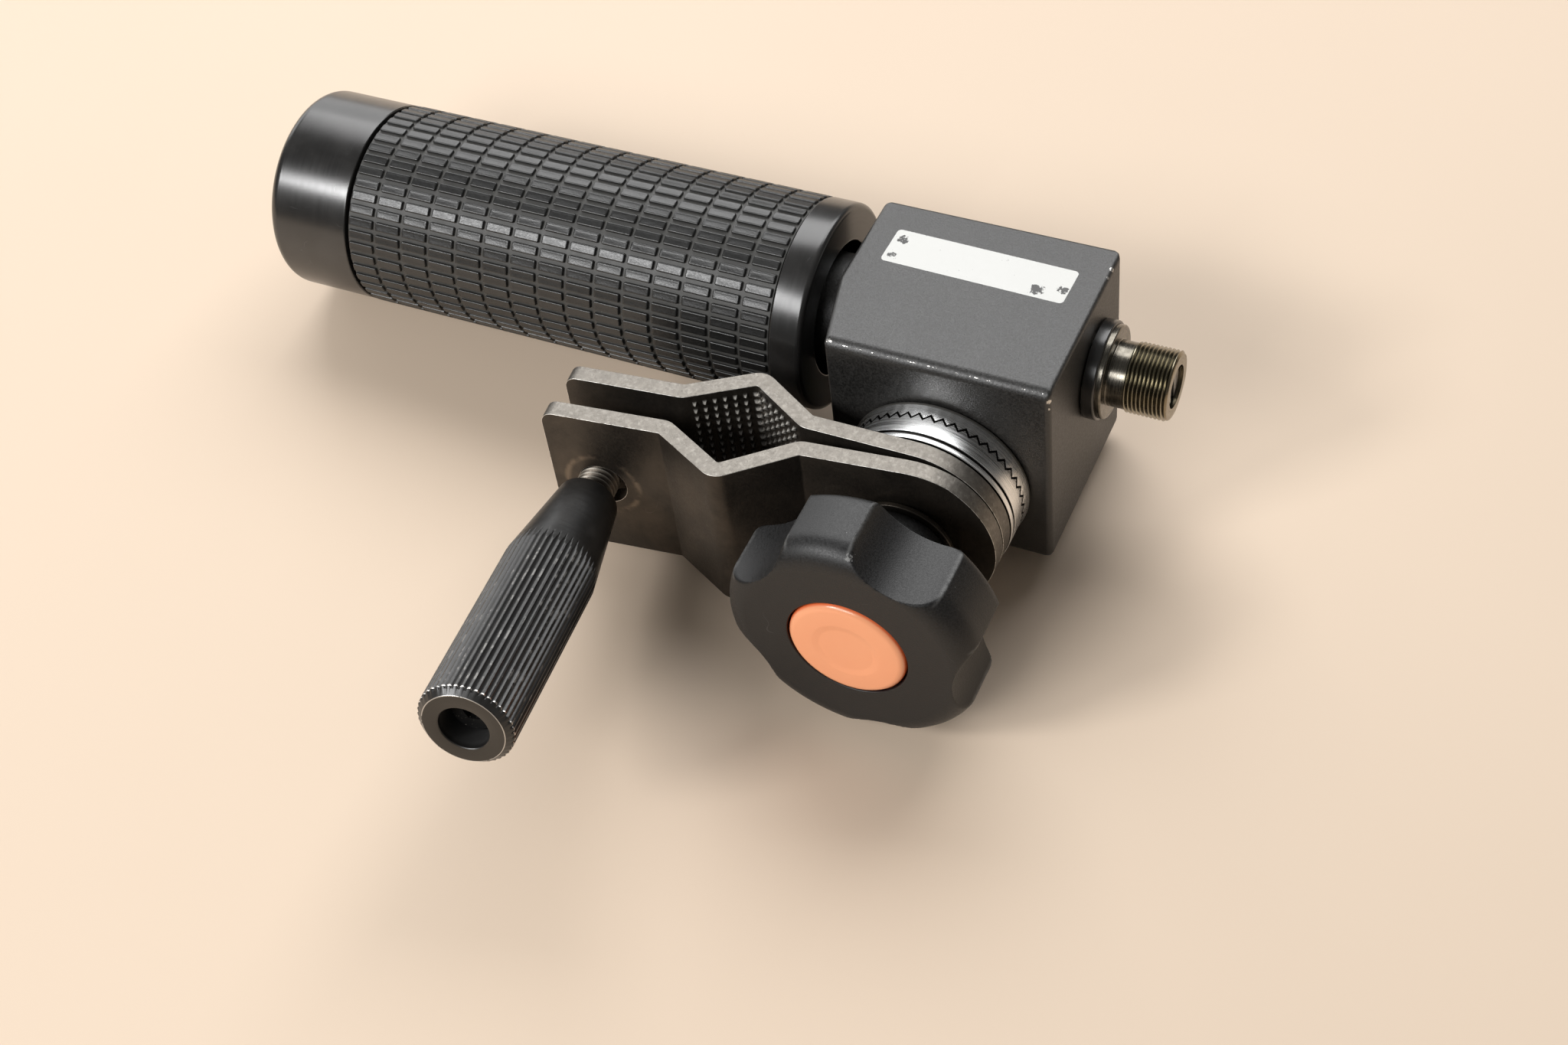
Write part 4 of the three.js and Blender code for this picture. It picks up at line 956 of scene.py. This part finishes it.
# The housing
def housing_shape():
    """The block with rounded edges, its neck, and the bores inside."""
    outline = [(0.0, block.front, 0.5), (block.right, block.front, 1.2),
               (block.right, block.back, block.corner), (block.left, block.back, 2.0),
               (block.left, block.front + block.taper, 0.8)]
    shape = bmesh.new()
    rings = [[shape.verts.new((x, y, z)) for x, y, _ in outline]
             for z in (block.bottom, block.top)]
    shape.faces.new(rings[0][::-1])
    shape.faces.new(rings[1])
    weights = shape.edges.layers.float.new("bevel_weight_edge")
    for i, (x, y, corner) in enumerate(outline):
        j = (i + 1) % len(outline)
        shape.faces.new((rings[0][i], rings[0][j], rings[1][j], rings[1][i]))
        # The front edge of the top is the softest.
        top_edge = block.corner if i == 0 else block.top_edge
        for low, high, softness in ((rings[0][i], rings[1][i], corner),
                                    (rings[0][i], rings[0][j], block.bottom_edge),
                                    (rings[1][i], rings[1][j], top_edge)):
            shape.edges.get((low, high))[weights] = softness / block.corner
    carrier = linked("carrier", as_mesh(shape))
    modified(carrier, "edges", "BEVEL", limit_method="WEIGHT", width=block.corner, segments=5)
    along_x = Matrix(((0, 0, 1), (0, -1, 0), (1, 0, 0))).to_4x4()
    neck = turned([(0, block.neck_end), (block.neck, block.neck_end, block.neck_chamfer),
                   (block.neck, 0), (0, 0)])
    mesh = carved(baked(carrier), moved(neck, along_x), operation="UNION")
    left, right = block.neck_end - BEYOND, block.right + BEYOND
    seats = [ring(0, radius, low, high, 0, MEDIUM) for radius, low, high in (
        (block.passage, left, right), (block.seat, left, block.left_seat_end),
        (block.seat, block.right_seat_start, right))]
    mesh = carved(mesh, *[moved(seat, along_x) for seat in seats])
    outward = Matrix(((1, 0, 0, block.swivel_x), (0, 0, -1, block.front),
                      (0, 1, 0, block.swivel_z), (0, 0, 0, 1)))
    holes = [ring(0, rosette.stud + GAP, knob.stud_root - GAP, BEYOND, 0)]
    for i in range(rosette.screws):
        angle = pi - tau * i / rosette.screws
        holes.append(moved(
            ring(0, rosette.screw_radius + GAP, -rosette.screw_length, BEYOND, 0, 20),
            Matrix.Translation((rosette.screw_circle * cos(angle),
                                rosette.screw_circle * sin(angle), 0))))
    shape = joined(carved(mesh, *[moved(hole, outward) for hole in holes]))
    # The cuts leave slivers, which are taken out here.
    bmesh.ops.remove_doubles(shape, verts=shape.verts, dist=1e-3)
    bmesh.ops.dissolve_degenerate(shape, dist=1e-3, edges=shape.edges)
    bmesh.ops.holes_fill(shape, edges=shape.edges, sides=4)
    return shape


piece("painted_housing", housing_shape(), "housing", BLOCK, PAINT)


# The drive line and grip
def pad_mesh():
    """One pad: a rounded rectangle with a soft raised rim, sunk a little below its drum."""
    half = (pad.width / 2, pad.length / 2)
    shape = bmesh.new()
    rings = []
    for height, inset in ((-pad.sunk, 0.0), (pad.height - pad.side_drop, pad.side_inset),
                          (pad.height - pad.edge_drop, pad.edge_inset), (pad.height, pad.rim),
                          (pad.height - pad.hollow, 2 * pad.rim)):
        corners = []
        for quarter, (sx, sy) in enumerate(((1, 1), (-1, 1), (-1, -1), (1, -1))):
            for step in range(3):
                angle = (quarter + step / 2) * pi / 2
                reach = pad.corner - min(inset, pad.corner * 0.9)
                corners.append(shape.verts.new((
                    sx * (half[0] - inset - reach) + reach * cos(angle),
                    sy * (half[1] - inset - reach) + reach * sin(angle), height)))
        rings.append(corners)
    shape.faces.new(rings[0][::-1])
    shape.faces.new(rings[-1])
    for low, high in zip(rings, rings[1:]):
        for i in range(len(low)):
            j = (i + 1) % len(low)
            shape.faces.new((low[i], low[j], high[j], high[i]))
    return as_mesh(shape)


def sleeve_shape():
    start, end = grip.cap_seam + grip.seam / 2, grip.flange_start - GAP
    floor = grip.radius - pad.height
    drum = ring(grip.core + GAP, floor, start, end, columns=FINE)
    pattern = linked("carrier", pad_mesh())
    pitch = (end - start) / pad.along
    pads = grown(pads_on_drum, RUBBER, pattern=pattern, radius=floor, around=pad.around,
                 along=pad.along, start=start + pitch / 2, pitch=pitch, seed=pad.seed)
    bpy.data.objects.remove(pattern)
    return joined(pads, as_mesh(drum))


piece("padded_sleeve", sleeve_shape(), "grip_sleeve", AXLE, RUBBER, sharp=50)
piece("smooth_barrel", turned([
    (shaft.radius + GAP, grip.hub_start), (shaft.radius + GAP, grip.hub_end),
    (grip.shell, grip.hub_end), (grip.shell, grip.cap_seam), (grip.core, grip.cap_seam),
    (grip.core, grip.flange_start), (grip.radius, grip.flange_start, 0.25),
    (grip.radius, grip.flange_end, 1.1), (grip.mouth, grip.flange_end, 0.5),
    (grip.mouth, grip.hub_start)], FINE), "grip_barrel", AXLE, GRIP_BLACK)
cap_rim = grip.cap_seam - grip.seam / 2
piece("smooth_end_cap", turned([
    (0, grip.end + grip.dish_depth), (grip.dish_radius, grip.end + grip.dish_depth, 0.5),
    (grip.dish_radius + grip.dish_depth, grip.end, 0.5),
    (grip.end_radius, grip.end, grip.end_round), (grip.end_radius, cap_rim, 0.3),
    (grip.shell - GAP, cap_rim), (grip.shell - GAP, cap_rim + grip.spigot),
    (0, cap_rim + grip.spigot)], FINE), "grip_end_cap", AXLE, GRIP_BLACK)


def nipple_shape():
    spigot, low, high, foot, end = [block.right + station for station in (
        -nipple.spigot, nipple.flange_start, nipple.flange_end, nipple.neck_end, nipple.end)]
    seat, overlap = block.seat - GAP, 0.4
    body = turned([
        (nipple.bore, spigot), (seat, spigot), (seat, low), (nipple.flange, low),
        (nipple.flange, high, 0.4), (nipple.neck, high, 0.2), (nipple.neck, foot + overlap, 0),
        (nipple.bore, foot + overlap, 0)])
    skin = threaded(NIPPLE_STEEL, foot, end, nipple.pitch, nipple.bore, crest=nipple.crest,
                    root=nipple.root, chamfer=nipple.chamfer, columns=MEDIUM)
    return joined(as_mesh(body), as_mesh(skin))


piece("threaded_nipple", nipple_shape(), "cable_nipple", AXLE, NIPPLE_STEEL)
ring_start, ring_end = block.right + GAP, block.right + GAP + nipple.ring_thickness
ring_radius = block.seat + nipple.ring_width
piece("dark_nipple_ring", turned([
    (block.seat, ring_start), (ring_radius, ring_start), (ring_radius, ring_end, 0.4),
    (block.seat, ring_end, 0.15)]), "nipple_ring", AXLE, GRIP_BLACK)


def dog_shape():
    blank = turned([(0, dog.start), (dog.radius, dog.start), (dog.radius, dog.end, 0.3),
                    (0, dog.end)], COARSE)
    socket = ring(0, shaft.tip + GAP, dog.start - BEYOND, shaft.end + GAP, 0)
    slot = bmesh.new()
    bmesh.ops.create_cube(slot, size=1.0, matrix=Matrix.LocRotScale(
        Vector((0, 0, dog.end)), None,
        Vector((3 * dog.radius, dog.slot_width, 2 * dog.slot_depth))))
    return joined(carved(as_mesh(blank), socket, slot))


piece("slotted_dog", dog_shape(), "drive_dog", AXLE, AXLE_STEEL)


# The swivel joint
def toothed(profile, material, plane):
    """A turned ring with radial teeth sunk into its face."""
    reach = 0.2
    blank = turned(profile, rosette.columns * rosette.teeth)
    return joined(grown(radial_teeth, material, as_mesh(blank), teeth=rosette.teeth,
                        rim=rosette.radius, inner=rosette.inner - 0.05, height=rosette.height,
                        low=plane - reach, high=plane + reach))


arm_plane = rosette.plane + rosette.gap
arm_back = plate.rear_back + plate.thickness
piece("toothed_rosette", toothed([
    (rosette.stud + GAP, GAP), (rosette.radius + rosette.flare, GAP, 0.35),
    (rosette.radius + rosette.flare, rosette.base, 0), (rosette.radius, rosette.plane, 0),
    (rosette.inner, rosette.plane, 0), (rosette.inner, rosette.web, 0),
    (rosette.stud + GAP, rosette.web)], FIXED_CHROME, rosette.plane),
      "rosette_fixed", SWIVEL, FIXED_CHROME)
piece("toothed_arm_rosette", toothed([
    (rosette.tube + GAP, rosette.arm_web), (rosette.inner, rosette.arm_web, 0),
    (rosette.inner, arm_plane, 0), (rosette.radius, arm_plane, 0.1),
    (rosette.radius, rosette.groove_start, 0.08),
    (rosette.radius - rosette.groove_depth, rosette.groove_start, 0.08),
    (rosette.radius - rosette.groove_depth, rosette.groove_end, 0.08),
    (rosette.radius, rosette.groove_end, 0.08), (rosette.radius, rosette.arm_end, 0.15),
    (rosette.boss, rosette.arm_end), (rosette.boss, arm_back),
    (rosette.tube + GAP, arm_back)], ARM_CHROME, arm_plane), "rosette_arm", SWIVEL, ARM_CHROME)
piece("stud", ring(0, rosette.stud, knob.stud_root, knob.stud_end, 0.5), "rosette_stud", SWIVEL,
      SWIVEL_STEEL)
piece("pivot_sleeve", ring(rosette.stud + GAP, rosette.tube, knob.tube_start, knob.tube_end, 0.3),
      "pivot_tube", SWIVEL, SWIVEL_STEEL)


# The clamp plates
def plate_line(back, jaw):
    """The corners of the middle line of a plate's bent sheet."""
    start = rosette.radius + jaw.lead
    root = back + plate.thickness / 2
    foot = root + jaw.splay
    far_foot = foot + jaw.vee_splay
    apex, end = start + jaw.near, start + jaw.near + jaw.far
    line = [(-plate.half_height - 2, root), (jaw.splay_start, root), (start, foot),
            (apex, (foot + far_foot) / 2 + jaw.side * jaw.depth), (end, far_foot),
            (plate.length + 1, far_foot + jaw.rise)]
    return [Vector(point) for point in line]


def square_left(direction):
    return Vector((-direction.y, direction.x)).normalized()


def length_at(path, u):
    for (low, a, _), (high, b, _) in zip(path, path[1:]):
        if a.x <= u <= b.x:
            return low + (high - low) * (u - a.x) / (b.x - a.x)
    return path[-1][0]


def bent_path(line, radius):
    """The middle line with an arc at each bend, as (length, point, square) triples."""
    points = [(line[0], square_left(line[1] - line[0]))]
    for before, here, after in zip(line, line[1:], line[2:]):
        first, second = (here - before).normalized(), (after - here).normalized()
        turn = first.angle(second)
        if turn < radians(0.5):
            continue
        reach = radius * tan(turn / 2)
        centre = here + (second - first).normalized() * (radius / cos(turn / 2))
        start = (here - first * reach - centre).normalized()
        end = (here + second * reach - centre).normalized()
        steps = max(3, ceil(degrees(turn) / 6))
        for k in range(steps + 1):
            heading = first.slerp(second, k / steps)
            points.append((centre + start.slerp(end, k / steps) * radius, square_left(heading)))
    points.append((line[-1], square_left(line[-1] - line[-2])))
    path, length = [], 0.0
    for i, (point, square) in enumerate(points):
        if i:
            length += (point - points[i - 1][0]).length
        path.append((length, point, square))
    # Lengths are counted from the swivel's axis.
    zero = length_at(path, 0.0)
    return [(length - zero, point, square) for length, point, square in path]


def arc(centre, radius, angles):
    return [(centre[0] + radius * cos(angle), centre[1] + radius * sin(angle))
            for angle in angles]


def circle(centre, radius, columns):
    return arc(centre, radius, [tau * i / columns for i in range(columns)])


def loop(shape, points):
    verts = [shape.verts.new((x, y, 0)) for x, y in points]
    return [shape.edges.new((a, b)) for a, b in zip(verts, verts[1:] + verts[:1])]


def plate_shape(back, jaw):
    """A flat sheet with its holes and rubbed rims, bent along the plate's line."""
    path = bent_path(plate_line(back, jaw), plate.bend)
    end, hole_at = length_at(path, plate.length), length_at(path, jaw.screw_hole[0])
    half, corner = plate.half_height, plate.corner
    shape = bmesh.new()
    outline = [point for centre, radius, first, last, step in (
        ((0, 0), half, 90, 270, 3), ((end - corner, corner - half), corner, -90, 0, 15),
        ((end - corner, half - corner), corner, 0, 90, 15))
        for point in arc(centre, radius, map(radians, range(first, last + 1, step)))]
    edges = [edge for points in (
        outline, circle((0, 0), jaw.hub_hole, 64),
        circle((hole_at, jaw.screw_hole[1]), jaw.screw_hole[2], 40))
        for edge in loop(shape, points)]
    bmesh.ops.triangle_fill(shape, use_beauty=True, use_dissolve=False, edges=edges)
    extruded = bmesh.ops.extrude_face_region(shape, geom=shape.faces[:])
    lifted = [item for item in extruded["geom"] if isinstance(item, bmesh.types.BMVert)]
    bmesh.ops.translate(shape, verts=lifted, vec=(0, 0, plate.thickness))
    bmesh.ops.translate(shape, verts=shape.verts, vec=(0, 0, -plate.thickness / 2))
    bmesh.ops.recalc_face_normals(shape, faces=shape.faces)
    shape.edges.ensure_lookup_table()
    rims = [edge for edge in shape.edges if edge.calc_face_angle(0) > radians(60)]
    bmesh.ops.bevel(shape, geom=rims, offset=plate.bevel, segments=3, profile=0.5,
                    affect="EDGES", clamp_overlap=True)
    # The flat faces, the cut sides and the rubbed edges between them have their own steels.
    for face in shape.faces:
        tilt = abs(face.normal.z)
        face.material_index = 0 if tilt > 0.99 else 1 if tilt < 0.4 else 2
    for length, _, _ in path[1:-1]:
        bmesh.ops.bisect_plane(shape, geom=shape.verts[:] + shape.edges[:] + shape.faces[:],
                               plane_co=(length, 0, 0), plane_no=(1, 0, 0))
    # The sheet is bent: a place along it becomes a place on the path.
    for vert in shape.verts:
        for (low, a, square_a), (high, b, square_b) in zip(path, path[1:]):
            if vert.co.x <= high + 1e-5:
                break
        share = (vert.co.x - low) / (high - low)
        point = a.lerp(b, share) + square_a.slerp(square_b, share) * vert.co.z
        vert.co = (point.x, point.y, vert.co.y)
    return shape


def vee_points(back, jaw):
    """The points on the inside of both legs of a vee."""
    line = plate_line(back, jaw)
    field = grown(field_of_points, TOOTH_STEEL, **vars(vee_tooth))
    legs = []
    for start, end in zip(line[2:4], line[3:5]):
        direction = (end - start).normalized()
        inside = square_left(direction) * -jaw.side
        middle = (start + end) / 2 + inside * plate.thickness / 2
        x, z = direction.to_3d(), inside.to_3d()
        matrix = Matrix((x, z.cross(x), z)).transposed().to_4x4()
        matrix.translation = middle.to_3d()
        legs.append(as_mesh(moved(joined(field), matrix)))
    shape = joined(*legs)
    for face in shape.faces:
        face.material_index = 3
    return shape


for name, replaced, back, jaw in (
        ("rear_vee_plate", "rear_jaw_plate", plate.rear_back, REAR_JAW),
        ("front_vee_plate", "front_jaw_plate", plate.front_back, FRONT_JAW)):
    shape = joined(as_mesh(plate_shape(back, jaw)), as_mesh(vee_points(back, jaw)))
    piece(name, shape, replaced, ARM, PLATE_STEEL, CUT_STEEL, RUBBED_STEEL, TOOTH_STEEL)


# The knob
piece("washer", ring(rosette.stud + GAP, knob.washer, knob.washer_start, knob.washer_end, 0.25),
      "knob_washer", SWIVEL, WASHER_STEEL)
knob_blank = turned([
    (knob.insert + GAP, knob.neck_start), (knob.neck, knob.neck_start, 0.4),
    (knob.neck_flare, knob.back, 1.5), (knob.radius, knob.back, knob.back_round),
    (knob.radius, knob.front, knob.front_round), (knob.cap + GAP, knob.front, 0.25),
    (knob.cap + GAP, knob.cap_floor), (knob.insert + GAP, knob.cap_floor)],
    knob.columns * knob.flutes, dense=(knob.back, knob.front, 0.7))
knob_mesh = grown(flutes, KNOB_PLASTIC, as_mesh(knob_blank), flutes=knob.flutes,
                  first_flute=radians(knob.first_flute), flute_radius=knob.flute_radius,
                  flute_centre=knob.flute_centre, softness=knob.softness)
piece("lobed_knob", joined(knob_mesh), "knob_body", SWIVEL, KNOB_PLASTIC, sharp=50)
cap_top = knob.front + knob.cap_proud
dish_floor = cap_top - knob.dish_depth
piece("orange_cap", turned([
    (0, knob.cap_floor + GAP), (knob.cap, knob.cap_floor + GAP), (knob.cap, cap_top, 1.5),
    (knob.dish, cap_top, 3.0), (knob.dish_floor, dish_floor, 3.0), (0, dish_floor)], FINE),
      "knob_cap", SWIVEL, CAP_PLASTIC)


# The clamp screw and handle
groove = clamp.radius - clamp.ring_groove
ring_front = clamp.ring + clamp.ring_width


def screw_shape():
    core_radius = clamp.radius - 0.1
    skin = threaded(SCREW_STEEL, ring_front + GAP, clamp.thread_end, clamp.pitch,
                    crest=clamp.radius, root=clamp.radius - clamp.thread_depth,
                    chamfer=clamp.thread_chamfer, columns=COARSE)
    core = turned([
        (0, clamp.tip), (core_radius, clamp.tip, 0.7), (core_radius, clamp.ring - GAP),
        (groove, clamp.ring - GAP), (groove, clamp.thread_end), (clamp.radius, clamp.thread_end),
        (clamp.radius, clamp.screw_end), (0, clamp.screw_end)], COARSE)
    return joined(as_mesh(core), as_mesh(skin))


piece("threaded_clamp_screw", screw_shape(), "clamp_screw", SCREW, SCREW_STEEL)
piece("stop_ring", ring(groove + GAP, clamp.ring_radius, clamp.ring, ring_front, 0.25),
      "screw_stop_ring", SCREW, SCREW_RING_STEEL)
cone_rise = (clamp.handle - clamp.neck) / (clamp.cone_end - clamp.neck_start)
knurl_radius = clamp.neck + cone_rise * (clamp.knurl_start - clamp.neck_start)
knurl_root = clamp.handle - clamp.knurl_depth
chamfer_start = clamp.end - clamp.end_chamfer
recess_floor = clamp.end - clamp.recess_depth
handle_blank = turned([
    (clamp.radius + GAP, clamp.neck_start), (clamp.neck, clamp.neck_start, 0.6),
    (knurl_radius, clamp.knurl_start, 0), (clamp.handle, clamp.cone_end, 0),
    (clamp.handle, chamfer_start, 0), (knurl_root, chamfer_start + clamp.knurl_depth, 0),
    (clamp.handle - clamp.end_chamfer, clamp.end, 0), (clamp.recess, clamp.end, 0.35),
    (clamp.recess, recess_floor), (clamp.bolt + GAP, recess_floor),
    (clamp.bolt + GAP, clamp.screw_end + GAP), (clamp.radius + GAP, clamp.screw_end + GAP)],
    clamp.columns * clamp.knurls, dense=(clamp.knurl_start, clamp.cone_end, 0.4))
handle_mesh = grown(knurl, HANDLE_BLACK, as_mesh(handle_blank), knurls=clamp.knurls,
                    root=knurl_root, crest=clamp.knurl_crest)
piece("knurled_handle", joined(handle_mesh), "clamp_handle", SCREW, HANDLE_BLACK, sharp=20)


def bolt_shape():
    foot, floor = clamp.screw_end + 2 * GAP, recess_floor + GAP
    top = floor + clamp.bolt_head
    blank = turned([
        (0, foot), (clamp.bolt, foot), (clamp.bolt, floor), (clamp.recess - GAP, floor),
        (clamp.recess - GAP, top, 0.4), (0, top)], COARSE)
    key = ring(0, clamp.key, top - clamp.key_depth, top + BEYOND, 0, 6)
    return joined(carved(as_mesh(blank), key))


piece("recessed_bolt", bolt_shape(), "handle_bolt", SCREW, BOLT_BLACK)

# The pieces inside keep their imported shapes.
for names, material in (
        ("bush_left bush_right", AXLE_BRONZE), ("drag_ring", FELT),
        ("drive_shaft shaft_retainer grip_bolt", AXLE_STEEL),
        ("rosette_screw_1 rosette_screw_2 rosette_screw_3", SWIVEL_STEEL),
        ("knob_insert", SWIVEL_BRONZE)):
    for name in names.split():
        kept = frame["nodes"][name].data.materials
        kept.clear()
        kept.append(material)


# The stage
def stage_material():
    material = bpy.data.materials.new("pale_floor")
    material.use_nodes = True
    tree = material.node_tree
    shader = tree.nodes["Principled BSDF"]
    tone = noise(node(tree, "ShaderNodeTexCoord")["Object"], 0.15, 3.0)
    fill(tree, shader.inputs["Base Color"], mix(tone, (0.73, 0.585, 0.45), (0.77, 0.62, 0.48)))
    shader.inputs["Roughness"].default_value = 0.6
    return material


FLOOR_HALF = 3.0
floor_mesh = bpy.data.meshes.new("floor")
floor_mesh.from_pydata([(x * FLOOR_HALF, y * FLOOR_HALF, 0) for x, y in (
    (-1, -1), (1, -1), (1, 1), (-1, 1))], [], [(0, 1, 2, 3)])
floor_mesh.materials.append(stage_material())
floor = linked("floor", floor_mesh)


def lamp(name, place, aim, size, power):
    data = bpy.data.lights.new(name, "AREA")
    data.shape = "RECTANGLE"
    data.size, data.size_y = size
    data.energy = power
    made = linked(name, data)
    made.location = place
    made.rotation_euler = (Vector(aim) - Vector(place)).to_track_quat("-Z", "Y").to_euler()


lamp("key_lamp", (-0.73, -0.75, 0.85), (-0.02, 0.0, 0.03), (0.28, 0.28), 7.4)
lamp("back_soft_light", (-0.2, 0.85, 0.98), (0, 0, 0), (1.5, 0.8), 16.5)
lamp("left_soft_light", (-1.0, 0.82, 0.38), (0, 0, 0.02), (1.1, 0.6), 4.0)
lamp("front_fill", (-0.33, -1.08, 0.95), (0, 0, 0), (0.6, 0.4), 8.0)

world = bpy.data.worlds.new("studio")
world.use_nodes = True
background = world.node_tree.nodes["Background"].inputs
background["Color"].default_value = (0.95, 0.93, 0.9, 1.0)
background["Strength"].default_value = 0.14
bpy.context.scene.world = world

# The camera stands where the photograph's perspective puts it.
view = Sizes(place=(0.15753, -0.22461, 0.36967), aim=(0.02742, 0.01525, 0.0), roll=-5.793,
             lens=52.37)
camera_data = bpy.data.cameras.new("camera")
camera_data.lens = view.lens
camera = linked("camera", camera_data)
level = (Vector(view.aim) - Vector(view.place)).to_track_quat("-Z", "Y").to_matrix().to_4x4()
camera.matrix_world = (Matrix.Translation(view.place) @ level
                       @ Matrix.Rotation(radians(view.roll), 4, "Z"))
bpy.context.scene.camera = camera
bpy.context.scene.view_settings.view_transform = "Standard"
